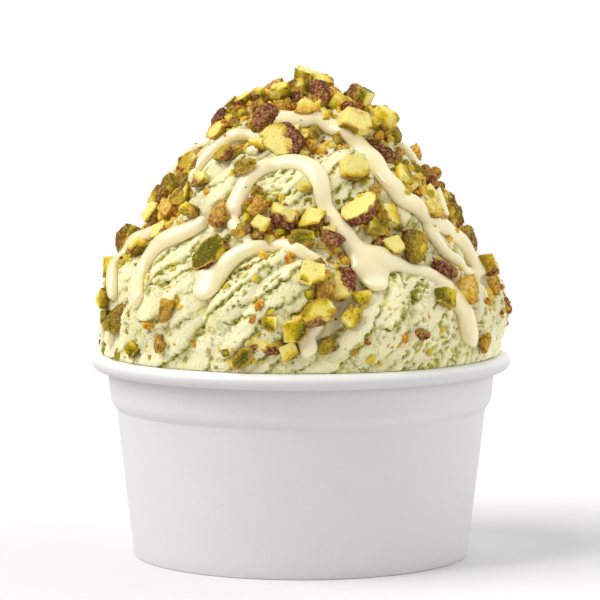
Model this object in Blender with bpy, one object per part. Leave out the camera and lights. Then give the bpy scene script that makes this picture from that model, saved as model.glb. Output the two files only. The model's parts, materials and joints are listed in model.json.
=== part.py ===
"""A paper cup heaped with pistachio gelato and set with chopped pistachios.

Run with: blender --background --python part.py
Metres, +Z up. The origin is on the cup's axis, at the level it stands on, and -Y is the front.
Azimuths are measured round the axis from the front, positive towards +X, in degrees.
"""

import math
import random

import bmesh
import bpy
from mathutils import Matrix, Vector, noise

MM = 0.001
GAP = 0.35 * MM  # kept between neighbouring pieces

# The paper cup
CUP_SIDES = 42
PAPER = 0.6 * MM
RIM_OUTER_RADIUS = 49.0 * MM
ROLL_HALF_WIDTH = 2.15 * MM
ROLL_HALF_HEIGHT = 1.85 * MM
CUP_HEIGHT = 47.4 * MM
BASE_RADIUS = 39.2 * MM
BAND_FOOT_HEIGHT = 34.6 * MM  # where the wall steps out to the band under the rim
BAND_FOOT_RADIUS = 43.2 * MM
BAND_STEP_HEIGHT = 3.4 * MM
BAND_LOW_RADIUS = 44.7 * MM
BAND_TOP_RADIUS = 45.3 * MM
BAND_TOP_HEIGHT = 43.7 * MM
SKIRT_THICKNESS = 1.5 * MM
FLOOR_RECESS = 3.2 * MM
FOOT_EDGE = 0.35 * MM  # how far the edges of the foot are taken off
BAND_STEP_EASE = 0.8
SHARP_CUP_EDGE = 35  # degrees; flatter edges are shaded smooth

# The heap of gelato: a superellipse turned about the axis, with scooped lobes and slanting folds
HEAP_SIDES = 48
HEAP_ROWS = 17
HEAP_BASE_HEIGHT = 52.0 * MM
HEAP_RADIUS = 46.3 * MM
HEAP_RISE = 57.5 * MM
HEAP_SETBACK = 1.1 * MM  # what its surface lies inside the plain heap between lobes and folds
HEAP_POWER = 1.55
FOLDS_ROUND = 10
FOLD_DEPTH = 1.3 * MM
FOLD_CLIMB = 250.0  # radians of fold phase per metre climbed, so that the folds slant
FOLD_MIDDLE = 0.64  # the average of a fold's height, taken off so that folds add no bulk
WANDER = 1.1
WANDER_SIZE = 16.0 * MM
HEAP_FIRST_RISE, HEAP_LAST_RISE = -4, 88  # degrees, the lowest and highest rings
FOOT_FADE_RISE = 14  # degrees over which lobes and folds come in above the lowest ring
TOP_FADE = 2.5  # how sharply the folds die away at the very top
LOBE_FULLNESS = 0.6
GELATO_FLOOR_CORNER = 2.5 * MM

# Lobes: azimuth, rise, half length, half width, tilt of the length from level, lift.
# A rise of 0 degrees is the heap's widest level and 90 is its top. Lengths are in millimetres.
LOBES = (
    (29, 7, 19, 13, 30, 4.4),
    (-9, 17, 17, 11, 30, 4.2),
    (-20, 1, 18, 6, 22, 3.4),
    (-47, 10, 15, 14, 58, 4.0),
    (66, 6, 13, 7, 82, 3.6),
    (87, 9, 16, 9, 70, 4.2),
    (-78, 16, 15, 10, 60, 3.0),
    (-40, 46, 11, 8, 60, 2.1),
    (-5, 44, 11, 8, 20, 2.1),
    (24, 46, 10, 8, 60, 2.0),
    (50, 38, 13, 8, -52, 2.2),
    (-66, 64, 11, 9, 0, 3.0),
    (66, 64, 12, 9, 0, 3.2),
    (0, 70, 10, 7, 0, 1.6),
    (112, 14, 19, 11, 40, 3.4),
    (143, 7, 19, 10, 28, 3.2),
    (178, 14, 18, 12, 38, 3.6),
    (-140, 8, 20, 10, 30, 3.2),
    (-108, 12, 17, 10, 50, 3.0),
    (105, 42, 13, 9, 45, 2.2),
    (150, 44, 14, 9, 35, 2.4),
    (-160, 42, 14, 9, 40, 2.2),
    (-112, 44, 13, 9, 50, 2.2),
    (180, 66, 11, 8, 0, 2.4),
)

# Chopped kernels: cut planes of each cut, as a normal and a distance from the middle of a unit
# kernel whose length is along X, with its two halves parting across Z.
CUTS = {
    "half": (((0, 0, 1), 0.05), ((1, 0.1, 0.2), 0.8)),
    "stub": (((1, 0.1, 0.15), 0.25),),
    "wedge": (((0, 0.1, 1), 0.1), ((1, 0.5, 0), 0.3), ((-0.6, 1, 0.2), 0.25)),
    "block": (((0, 0, 1), 0.3), ((1, 0, 0.1), 0.5), ((-1, 0.1, 0.1), 0.45), ((0.1, 1, 0), 0.4)),
    "slice": (((1, 0.1, 0.05), 0.3), ((-1, 0.1, 0.1), 0.3)),
}
CUT_WOBBLE = 0.12
KERNEL_SEGMENTS, KERNEL_RINGS = 7, 4
KERNEL_TAPER = 0.25  # how much narrower its ends are than an ellipsoid's
SINK_SHARE = 0.3  # how much of a chunk is pressed into the gelato
CROWN_RISE = 72  # above this they are piled on the top, and pressed in less
CROWN_SINK_SHARE = 0.15

# Chunks on the front and the flanks: cut, azimuth, rise, length, width and thickness in
# millimetres, spin of the length from level, lean of its far end out of the surface, and roll
# about the length, which tips the cut side down the slope.
CHUNKS = (
    # the crown
    ("stub", -88, 77, 7.4, 5.0, 4.8, 85, 0, 180),
    ("stub", -11, 82, 6.4, 5.2, 5.2, 20, 0, 150),
    ("block", 50, 87, 6.4, 6.0, 6.2, 30, 0, 10),
    ("block", 62, 80, 5.4, 4.8, 5.6, 60, 10, 0),
    ("block", 76, 69, 6.4, 5.8, 5.6, 85, 0, 0),
    ("stub", 27, 73, 8.4, 5.0, 4.8, 80, 15, 160),
    ("block", -29, 74, 5.0, 4.4, 4.4, 25, 0, 0),
    ("block", -66, 68, 5.4, 4.2, 4.2, 70, 0, 0),
    ("stub", -76, 61, 5.4, 4.4, 4.4, 75, 0, 180),
    ("stub", -29, 62, 8.8, 7.4, 6.2, 72, 0, 180),
    ("half", -11, 58, 10.8, 8.0, 5.4, -18, 0, 35),
    ("block", 37, 60, 8.0, 6.2, 5.6, -20, 0, 15),
    ("block", 66, 60, 6.2, 4.8, 4.6, 80, 0, 0),
    ("stub", 50, 54, 8.8, 5.4, 5.0, -58, 0, 180),
    ("block", 23, 47, 6.6, 6.0, 5.2, 5, 0, 10),
    # the left
    ("half", -72, 48, 6.8, 5.4, 4.8, 85, 0, 60),
    ("stub", -74, 41, 8.0, 5.8, 5.4, 75, 0, 180),
    ("block", -69, 35, 5.8, 5.6, 5.2, 85, 0, 0),
    ("half", -80, 28, 7.8, 6.8, 5.0, 80, 0, 55),
    ("wedge", -82, 21, 6.2, 4.8, 4.6, 80, 0, 40),
    ("stub", -31, 36, 6.8, 6.2, 5.4, 60, 0, 150),
    ("half", -31, 27, 10.2, 7.6, 5.0, 52, 0, -14),
    ("stub", -66, 9, 12.0, 6.8, 6.2, 67, -35, 180),
    ("half", -7, 36, 8.0, 6.6, 6.0, -28, 0, -60),
    ("half", -9, 3, 10.0, 6.6, 5.8, -14, 0, -55),
    ("block", -2, 8, 6.2, 5.2, 4.6, 20, 0, 0),
    # the middle
    ("wedge", 3, 36, 7.8, 5.4, 4.8, 32, 0, 0),
    ("stub", 10, 31, 6.0, 4.8, 4.4, -40, 0, 180),
    ("block", 3, 22, 6.0, 5.4, 4.8, -5, 0, 0),
    ("half", 13, 20, 9.0, 6.6, 5.2, 62, 0, -28),
    ("half", 4, 13, 8.6, 6.4, 4.8, 28, 0, 10),
    ("half", 22, 37, 9.8, 8.2, 6.4, 40, 0, -38),
    # the right
    ("stub", 41, 28, 8.2, 6.6, 5.8, 65, 0, 180),
    ("stub", 51, 23, 7.4, 4.8, 4.6, -30, 0, 180),
    ("wedge", 58, 17, 7.8, 5.4, 5.0, 72, 0, 0),
    ("block", 53, 36, 5.2, 4.6, 4.4, 10, 0, 0),
    ("stub", 81, 44, 7.0, 5.6, 5.2, 80, 0, 180),
    ("stub", 82, 34, 6.2, 5.0, 4.8, 60, 0, 180),
    ("stub", 78, 28, 6.8, 5.2, 4.8, 70, 0, 180),
    ("block", 84, 21, 5.4, 4.8, 4.6, 70, 0, 0),
    ("stub", 83, 9, 5.2, 4.2, 4.0, 80, 0, 180),
)
# Chunks behind: set by a loop, in rows of (rise, number, smallest and largest length)
BACK_ROWS = ((14, 5, 6.5, 9.5), (32, 4, 7.0, 10.0), (50, 4, 6.5, 9.5), (67, 2, 7.0, 9.0))
BACK_FROM, BACK_TO = 106, 254
BACK_WIDTHS, BACK_THICKNESSES = (0.65, 0.8), (0.5, 0.62)  # shares of a chunk's length
BACK_AZIMUTH_PLAY, BACK_RISE_PLAY, BACK_LEAN = 6, 4, 8  # degrees either way
BACK_ROLLS = (0, 20, 160, 180)
BACK_SEED = 11

PAPER_WHITE = ((0.86, 0.86, 0.85), 0.5)
GELATO_GREEN = ((0.62, 0.68, 0.34), 0.55)
NUT_GREEN = ((0.52, 0.42, 0.06), 0.5)


def clear_scene():
    for obj in list(bpy.data.objects):
        bpy.data.objects.remove(obj, do_unlink=True)


def finish_material(name, look):
    colour, roughness = look
    material = bpy.data.materials.new(name)
    material.use_nodes = True
    shader = material.node_tree.nodes["Principled BSDF"]
    shader.inputs["Base Color"].default_value = (*colour, 1.0)
    shader.inputs["Roughness"].default_value = roughness
    shader.inputs["Metallic"].default_value = 0.0
    return material


def add_object(name, bm, material):
    """Closes off a bmesh as a named object, with its faces pointing out."""
    bmesh.ops.recalc_face_normals(bm, faces=bm.faces)
    mesh = bpy.data.meshes.new(name)
    bm.to_mesh(mesh)
    bm.free()
    mesh.materials.append(material)
    obj = bpy.data.objects.new(name, mesh)
    bpy.context.scene.collection.objects.link(obj)
    return obj


# ---------------------------------------------------------------- the cup


def wall_radius(height):
    """Outer radius of the cup's wall at a height, from the foot up to the roll."""
    if height <= BAND_FOOT_HEIGHT:
        return BASE_RADIUS + (BAND_FOOT_RADIUS - BASE_RADIUS) * height / BAND_FOOT_HEIGHT
    step_top = BAND_FOOT_HEIGHT + BAND_STEP_HEIGHT
    if height <= step_top:
        share = (height - BAND_FOOT_HEIGHT) / BAND_STEP_HEIGHT
        eased = math.sin(share * math.pi / 2) ** BAND_STEP_EASE
        return BAND_FOOT_RADIUS + (BAND_LOW_RADIUS - BAND_FOOT_RADIUS) * eased
    share = (height - step_top) / (BAND_TOP_HEIGHT - step_top)
    return BAND_LOW_RADIUS + (BAND_TOP_RADIUS - BAND_LOW_RADIUS) * share


def roll_point(degrees, clearance=0.0):
    """A point of the rolled rim's section; 0 degrees is its outermost point and 90 its top."""
    angle = math.radians(degrees)
    middle = (RIM_OUTER_RADIUS - ROLL_HALF_WIDTH, CUP_HEIGHT - ROLL_HALF_HEIGHT)
    return (
        middle[0] + (ROLL_HALF_WIDTH + clearance) * math.cos(angle),
        middle[1] + (ROLL_HALF_HEIGHT + clearance) * math.sin(angle),
    )


def wall_heights(shares):
    """Heights of the wall's rings: at some shares of the step, and at the top of the band."""
    return [*(BAND_FOOT_HEIGHT + BAND_STEP_HEIGHT * share for share in shares), BAND_TOP_HEIGHT]


def cup_section():
    """The closed section of the cup, from the middle of its underside round to the floor."""
    floor_top = FLOOR_RECESS + PAPER
    skirt = BASE_RADIUS - SKIRT_THICKNESS
    edge = FOOT_EDGE
    section = [(0.0, FLOOR_RECESS), (skirt - edge, FLOOR_RECESS), (skirt, FLOOR_RECESS - edge)]
    section += [(skirt, edge), (skirt + edge, 0.0), (BASE_RADIUS - edge, 0.0)]
    section += [(wall_radius(edge), edge)]
    section += [(wall_radius(z), z) for z in wall_heights((0, 0.2, 0.5, 1))]
    section += [roll_point(degrees) for degrees in (-135, -90, -50, -15, 20, 55, 90, 130, 180)]
    section += [(wall_radius(z) - PAPER, z) for z in reversed(wall_heights((0, 1)))]
    section += [(wall_radius(floor_top) - PAPER, floor_top), (0.0, floor_top)]
    return section


def build_cup(material):
    bm = bmesh.new()
    corners = [bm.verts.new((radius, 0, height)) for radius, height in cup_section()]
    edges = [bm.edges.new(pair) for pair in zip(corners, corners[1:])]
    bmesh.ops.spin(
        bm,
        geom=corners + edges,
        axis=(0, 0, 1),
        cent=(0, 0, 0),
        angle=2 * math.pi,
        steps=CUP_SIDES,
        use_merge=True,
    )
    bmesh.ops.remove_doubles(bm, verts=bm.verts, dist=1e-6)
    cup = add_object("cup", bm, material)
    cup.data.shade_smooth()
    cup.data.set_sharp_from_angle(angle=math.radians(SHARP_CUP_EDGE))
    return cup


# ---------------------------------------------------------------- the gelato


def outward(azimuth):
    angle = math.radians(azimuth)
    return Vector((math.sin(angle), -math.cos(angle), 0))


def plain_heap(azimuth, rise):
    """A point of the heap before its lobes and folds."""
    angle = math.radians(rise)
    root = 2 / HEAP_POWER
    radius = HEAP_RADIUS * max(0.0, math.cos(angle)) ** root
    height = HEAP_RISE * math.copysign(abs(math.sin(angle)) ** root, angle)
    return outward(azimuth) * radius + Vector((0, 0, HEAP_BASE_HEIGHT + height))


def heap_frame(azimuth, rise):
    """Unit vectors of the plain heap at a point: level, upslope and out of the surface."""
    level = outward(azimuth + 90)
    step = 0.5
    upslope = (plain_heap(azimuth, rise + step) - plain_heap(azimuth, rise - step)).normalized()
    return level, upslope, level.cross(upslope).normalized()


def lobe_lift(point):
    """How far the scooped lobes stand out at a point of the plain heap."""
    lift = 0.0
    for azimuth, rise, length, width, tilt, height in LOBES:
        level, upslope, out = heap_frame(azimuth, rise)
        away = point - plain_heap(azimuth, rise)
        turn = math.radians(tilt)
        along = away.dot(level) * math.cos(turn) + away.dot(upslope) * math.sin(turn)
        across = away.dot(upslope) * math.cos(turn) - away.dot(level) * math.sin(turn)
        depth = away.dot(out) / width
        share = ((along / length) ** 2 + (across / width) ** 2 + depth**2) / MM**2
        if share < 1:
            lift = max(lift, height * MM * (1 - share) ** LOBE_FULLNESS)
    return lift


def fold_lift(point, azimuth):
    """Height of the folds that slant up round the heap: rounded backs and narrow creases."""
    wander = WANDER * noise.noise(point / WANDER_SIZE)
    phase = math.radians(azimuth) * FOLDS_ROUND - point.z * FOLD_CLIMB
    return FOLD_DEPTH * (abs(math.cos(phase / 2 + wander * math.pi)) - FOLD_MIDDLE)


def heap_point(azimuth, rise):
    """A point of the gelato's surface above the rim."""
    point = plain_heap(azimuth, rise)
    out = heap_frame(azimuth, rise)[2]
    top_fade = min(1.0, math.cos(math.radians(rise)) * TOP_FADE)
    foot_fade = min(1.0, (rise - HEAP_FIRST_RISE) / FOOT_FADE_RISE)
    lift = lobe_lift(point) + fold_lift(point, azimuth) * top_fade - HEAP_SETBACK
    return point + out * lift * foot_fade


def heap_below():
    """Rings of the gelato under the heap, from its bottom in the cup up over the rolled rim."""
    floor = FLOOR_RECESS + PAPER + GAP
    inner = PAPER + GAP
    corner = GELATO_FLOOR_CORNER
    rings = [(wall_radius(floor) - inner - corner, floor)]
    rings += [(wall_radius(floor + corner) - inner, floor + corner)]
    rings += [(wall_radius(z) - inner, z) for z in wall_heights((0, 1))]
    rings += [roll_point(degrees, GAP) for degrees in (175, 145, 112)]
    return rings


def build_gelato(material, sockets):
    """The gelato: a mass that fills the cup and heaps above it, with a socket for each chunk."""
    azimuths = [360 * side / HEAP_SIDES for side in range(HEAP_SIDES)]
    climb = (HEAP_LAST_RISE - HEAP_FIRST_RISE) / (HEAP_ROWS - 1)
    rises = [HEAP_FIRST_RISE + climb * row for row in range(HEAP_ROWS)]
    bm = bmesh.new()
    rings = []
    for radius, height in heap_below():
        ring = [bm.verts.new(outward(a) * radius + Vector((0, 0, height))) for a in azimuths]
        rings.append(ring)
    for rise in rises:
        rings.append([bm.verts.new(heap_point(a, rise)) for a in azimuths])
    for low, high in zip(rings, rings[1:]):
        for side in range(HEAP_SIDES):
            after = (side + 1) % HEAP_SIDES
            bm.faces.new((low[side], low[after], high[after], high[side]))
    for ring in (rings[0], rings[-1]):
        middle = bm.verts.new(sum((v.co for v in ring), Vector()) / HEAP_SIDES)
        for side in range(HEAP_SIDES):
            bm.faces.new((ring[side], ring[(side + 1) % HEAP_SIDES], middle))
    gelato = add_object("gelato", bm, material)
    gelato.data.shade_smooth()
    cut = gelato.modifiers.new("sockets", "BOOLEAN")
    cut.operation = "DIFFERENCE"
    cut.solver = "EXACT"
    cut.operand_type = "COLLECTION"
    cut.collection = sockets
    return gelato


# ---------------------------------------------------------------- the pistachios


def slice_off(bm, point, normal):
    """Cuts away what lies beyond a plane, and closes the cut with one flat face."""
    cut = bmesh.ops.bisect_plane(
        bm,
        geom=[*bm.verts, *bm.edges, *bm.faces],
        dist=1e-7,
        plane_co=point,
        plane_no=normal,
        clear_outer=True,
    )
    rim = [item for item in cut["geom_cut"] if isinstance(item, bmesh.types.BMEdge)]
    if rim:
        bmesh.ops.contextual_create(bm, geom=rim)


def chopped_kernel(cut, size, draw):
    """A chopped kernel about its own middle: an ellipsoid with pointed ends, cut by planes."""
    bm = bmesh.new()
    lengthways = Matrix.Rotation(math.pi / 2, 4, "Y")
    bmesh.ops.create_uvsphere(
        bm,
        u_segments=KERNEL_SEGMENTS,
        v_segments=KERNEL_RINGS,
        radius=1.0,
        matrix=lengthways,
    )
    for vert in bm.verts:
        taper = 1 - KERNEL_TAPER * vert.co.x**2
        vert.co.y *= taper
        vert.co.z *= taper
    for normal, distance in CUTS[cut]:
        wobbled = Vector(normal) + Vector([draw.uniform(-CUT_WOBBLE, CUT_WOBBLE) for _ in range(3)])
        wobbled.normalize()
        slice_off(bm, wobbled * distance, wobbled)
    low = Vector([min(v.co[axis] for v in bm.verts) for axis in range(3)])
    high = Vector([max(v.co[axis] for v in bm.verts) for axis in range(3)])
    for vert in bm.verts:
        for axis in range(3):
            share = (vert.co[axis] - low[axis]) / (high[axis] - low[axis]) - 0.5
            vert.co[axis] = share * size[axis] * MM
    return bm


def set_in_heap(bm, azimuth, rise, spin, lean, roll):
    """Turns a chunk, presses it into the heap and keeps it within the rim. Returns its middle."""
    level, upslope, out = heap_frame(azimuth, rise)
    turn = Matrix((level, upslope, out)).transposed().to_4x4()
    for degrees, axis in ((spin, "Z"), (-lean, "Y"), (roll, "X")):
        turn = turn @ Matrix.Rotation(math.radians(degrees), 4, axis)
    bmesh.ops.transform(bm, matrix=turn, verts=bm.verts)
    depths = [v.co.dot(out) for v in bm.verts]
    lowest, highest = min(depths), max(depths)
    sink = SINK_SHARE if rise < CROWN_RISE else CROWN_SINK_SHARE
    place = heap_point(azimuth, rise) - out * (lowest + sink * (highest - lowest))
    reach = max((v.co + place).xy.length for v in bm.verts)
    place -= outward(azimuth) * max(0.0, reach - RIM_OUTER_RADIUS)
    bmesh.ops.translate(bm, vec=place, verts=bm.verts)
    return place


def back_chunks(draw):
    """Chunks for the side that faces away, in staggered rows."""
    cuts = sorted(CUTS)
    for row, (rise, number, smallest, largest) in enumerate(BACK_ROWS):
        for place in range(number):
            share = (place + (0.75 if row % 2 else 0.25)) / number
            azimuth = BACK_FROM + (BACK_TO - BACK_FROM) * share
            azimuth += draw.uniform(-BACK_AZIMUTH_PLAY, BACK_AZIMUTH_PLAY)
            length = draw.uniform(smallest, largest)
            width = length * draw.uniform(*BACK_WIDTHS)
            thickness = length * draw.uniform(*BACK_THICKNESSES)
            spin, roll = draw.uniform(0, 180), draw.choice(BACK_ROLLS)
            lean, cut = draw.uniform(-BACK_LEAN, BACK_LEAN), draw.choice(cuts)
            climb = rise + draw.uniform(-BACK_RISE_PLAY, BACK_RISE_PLAY)
            yield cut, azimuth, climb, length, width, thickness, spin, lean, roll


def part_neighbours(first, second):
    """Where two chunks reach into each other, trims both back to a plane between them."""
    (bm_a, middle_a), (bm_b, middle_b) = first, second
    between = middle_b - middle_a
    distance = between.length
    between.normalize()
    reach_a = max((v.co - middle_a).dot(between) for v in bm_a.verts)
    reach_b = max((v.co - middle_b).dot(-between) for v in bm_b.verts)
    if reach_a + reach_b + GAP <= distance:
        return
    meet = middle_a + between * distance * reach_a / (reach_a + reach_b)
    slice_off(bm_a, meet - between * GAP / 2, between)
    slice_off(bm_b, meet + between * GAP / 2, -between)


def build_pistachios(material, sockets):
    draw = random.Random(BACK_SEED)
    chunks = []
    for cut, azimuth, rise, length, width, thickness, *turns in (*CHUNKS, *back_chunks(draw)):
        bm = chopped_kernel(cut, (length, width, thickness), draw)
        chunks.append((bm, set_in_heap(bm, azimuth, rise, *turns)))
    for number, chunk in enumerate(chunks):
        for other in chunks[number + 1 :]:
            part_neighbours(chunk, other)
    for number, (bm, middle) in enumerate(chunks, start=1):
        socket = bm.copy()
        chunk = add_object(f"pistachio_{number:02d}", bm, material)
        chunk.data.shade_flat()
        growth = 1 + 2 * GAP / min(chunk.dimensions)  # leaves the gap on the narrowest side too
        grow = Matrix.Translation(middle) @ Matrix.Scale(growth, 4)
        bmesh.ops.transform(socket, matrix=grow @ Matrix.Translation(-middle), verts=socket.verts)
        cutter = add_object(f"socket_{number:02d}", socket, material)
        cutter.hide_render = True
        cutter.display_type = "WIRE"
        bpy.context.scene.collection.objects.unlink(cutter)
        sockets.objects.link(cutter)


def main():
    clear_scene()
    paper = finish_material("paper", PAPER_WHITE)
    green = finish_material("pistachio_gelato", GELATO_GREEN)
    nut = finish_material("pistachio_nut", NUT_GREEN)
    sockets = bpy.data.collections.new("sockets")
    bpy.context.scene.collection.children.link(sockets)
    build_cup(paper)
    build_pistachios(nut, sockets)
    build_gelato(green, sockets)


main()
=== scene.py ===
"""The looks of a paper cup heaped with pistachio gelato, white sauce and chopped pistachios.

Metres, +Z up. The origin is on the cup's axis, at the level it stands on, and -Y is the front.
Azimuths are measured round the axis from the front, positive towards +X, in degrees. A rise is a
place up the heap in degrees: 0 is its widest level and 90 its top.
"""

import json
import math
import random

import bmesh
import bpy
import numpy as np
from mathutils import Matrix, Vector, noise
from mathutils.kdtree import KDTree

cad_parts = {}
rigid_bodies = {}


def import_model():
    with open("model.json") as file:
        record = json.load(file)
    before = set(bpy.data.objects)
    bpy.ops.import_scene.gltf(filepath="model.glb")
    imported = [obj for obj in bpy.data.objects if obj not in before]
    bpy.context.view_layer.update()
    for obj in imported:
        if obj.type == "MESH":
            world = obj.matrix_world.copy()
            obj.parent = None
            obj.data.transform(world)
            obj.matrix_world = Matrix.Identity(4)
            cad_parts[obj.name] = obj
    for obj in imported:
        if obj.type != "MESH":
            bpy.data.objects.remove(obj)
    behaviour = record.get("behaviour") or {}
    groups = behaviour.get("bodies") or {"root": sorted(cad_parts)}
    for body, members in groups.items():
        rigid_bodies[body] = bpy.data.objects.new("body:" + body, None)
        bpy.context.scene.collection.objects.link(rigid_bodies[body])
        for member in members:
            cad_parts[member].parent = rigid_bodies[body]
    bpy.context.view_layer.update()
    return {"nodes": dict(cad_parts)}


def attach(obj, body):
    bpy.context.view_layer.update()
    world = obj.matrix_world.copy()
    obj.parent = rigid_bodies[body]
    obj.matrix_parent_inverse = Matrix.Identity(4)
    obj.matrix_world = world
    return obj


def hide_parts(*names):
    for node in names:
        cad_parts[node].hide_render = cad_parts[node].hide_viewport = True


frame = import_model()

MM = 0.001
ROOT = "root"

# The paper cup's section, as in the part
PAPER = 0.6 * MM
RIM_OUTER_RADIUS = 49.0 * MM
ROLL_HALF_WIDTH = 2.15 * MM
ROLL_HALF_HEIGHT = 1.85 * MM
CUP_HEIGHT = 47.4 * MM
BASE_RADIUS = 39.2 * MM
BAND_FOOT_HEIGHT = 34.6 * MM
BAND_FOOT_RADIUS = 43.2 * MM
BAND_STEP_HEIGHT = 3.4 * MM
BAND_LOW_RADIUS = 44.7 * MM
BAND_TOP_RADIUS = 45.3 * MM
BAND_TOP_HEIGHT = 43.7 * MM
SKIRT_THICKNESS = 1.5 * MM
FLOOR_RECESS = 3.2 * MM
GAP = 0.35 * MM

# The heap of gelato, as in the part
HEAP_BASE_HEIGHT = 52.0 * MM
HEAP_RADIUS = 46.3 * MM
HEAP_RISE = 57.5 * MM
HEAP_SETBACK = 1.1 * MM
HEAP_POWER = 1.55
FOLDS_ROUND = 10
FOLD_DEPTH = 1.3 * MM
FOLD_CLIMB = 250.0
WANDER = 1.1
WANDER_SIZE = 16.0 * MM
# Lobes: azimuth, rise, half length and half width, tilt in degrees, and height, all sizes in
# millimetres
LOBES = (
    (29, 7, 19, 13, 30, 4.4), (-9, 17, 17, 11, 30, 4.2), (-20, 1, 18, 6, 22, 3.4),
    (-47, 10, 15, 14, 58, 4.0), (66, 6, 13, 7, 82, 3.6), (87, 9, 16, 9, 70, 4.2),
    (-78, 16, 15, 10, 60, 3.0), (-40, 46, 11, 8, 60, 2.1), (-5, 44, 11, 8, 20, 2.1),
    (24, 46, 10, 8, 60, 2.0), (50, 38, 13, 8, -52, 2.2), (-66, 64, 11, 9, 0, 3.0),
    (66, 64, 12, 9, 0, 3.2), (0, 70, 10, 7, 0, 1.6), (112, 14, 19, 11, 40, 3.4),
    (143, 7, 19, 10, 28, 3.2), (178, 14, 18, 12, 38, 3.6), (-140, 8, 20, 10, 30, 3.2),
    (-108, 12, 17, 10, 50, 3.0), (105, 42, 13, 9, 45, 2.2), (150, 44, 14, 9, 35, 2.4),
    (-160, 42, 14, 9, 40, 2.2), (-112, 44, 13, 9, 50, 2.2), (180, 66, 11, 8, 0, 2.4),
)

# The surface of the gelato: how finely it is made, and what the spatula left on it
HEAP_SIDES = 640  # at the widest level; halved where the heap gets narrow
HEAP_STEP = 0.38 * MM
FRONT_CROWDING = 0.35  # how much closer together its points are in front than behind
TWIST = FOLD_CLIMB / FOLDS_ROUND  # radians per metre climbed, along which the spatula dragged
DRAG_RADIUS = 38.0 * MM
DRAG_STRETCH = 6.0
SLABS = 235
SLAB_LENGTHS = (5.0 * MM, 12.0 * MM)  # half of each
SLAB_WIDTHS = (2.0 * MM, 3.7 * MM)
SLAB_HEIGHTS = (0.55 * MM, 1.2 * MM)
SLAB_OVERHANG = 0.35  # how far a slab leans downslope, as a share of its lift
SLAB_SETBACK = 0.4 * MM  # how far the ground between slabs lies inside the solid
SLAB_TRIES = 5  # places drawn for each slab, of which the one farthest from the others is taken
SLAB_TURN = 9  # degrees either way from the spatula's drag
RAGGED_EDGES = ((0.55 * MM, 2.2 * MM, 0.0), (0.5 * MM, 0.95 * MM, 4.4))  # depth, size and shift
FIRST_RISE, LAST_RISE = -7.6, 88.5
UNDULATION_DEPTH = 0.3 * MM
STREAK_DEPTH = 0.12 * MM
TEAR_DEPTH = 0.3 * MM
CRUMBLE_DEPTH = 0.6 * MM
GRAIN_DEPTH = 0.22 * MM
PIT_DEPTH = 0.6 * MM
UNDULATION_SIZE, STREAK_SIZE = 4.5 * MM, 1.1 * MM
CRUMBLE_SIZES = (1.3 * MM, 0.75 * MM)
GRAIN_SIZE = 0.75 * MM
CHAIN_SIZE, PIT_SIZE, PITTED_SIZE = 2.3 * MM, 1.0 * MM, 8.0 * MM
RIM_LEAN = 0.75 * MM  # how far the foot of the heap leans out onto the rim
SAUCE_BED = 0.25 * MM  # how deep the sauce presses in
# Places full of pits: azimuth, rise and reach
PITTED_PLACES = ((44, 10, 24.0 * MM), (-6, 44, 10.0 * MM), (30, 20, 14.0 * MM))

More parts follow.
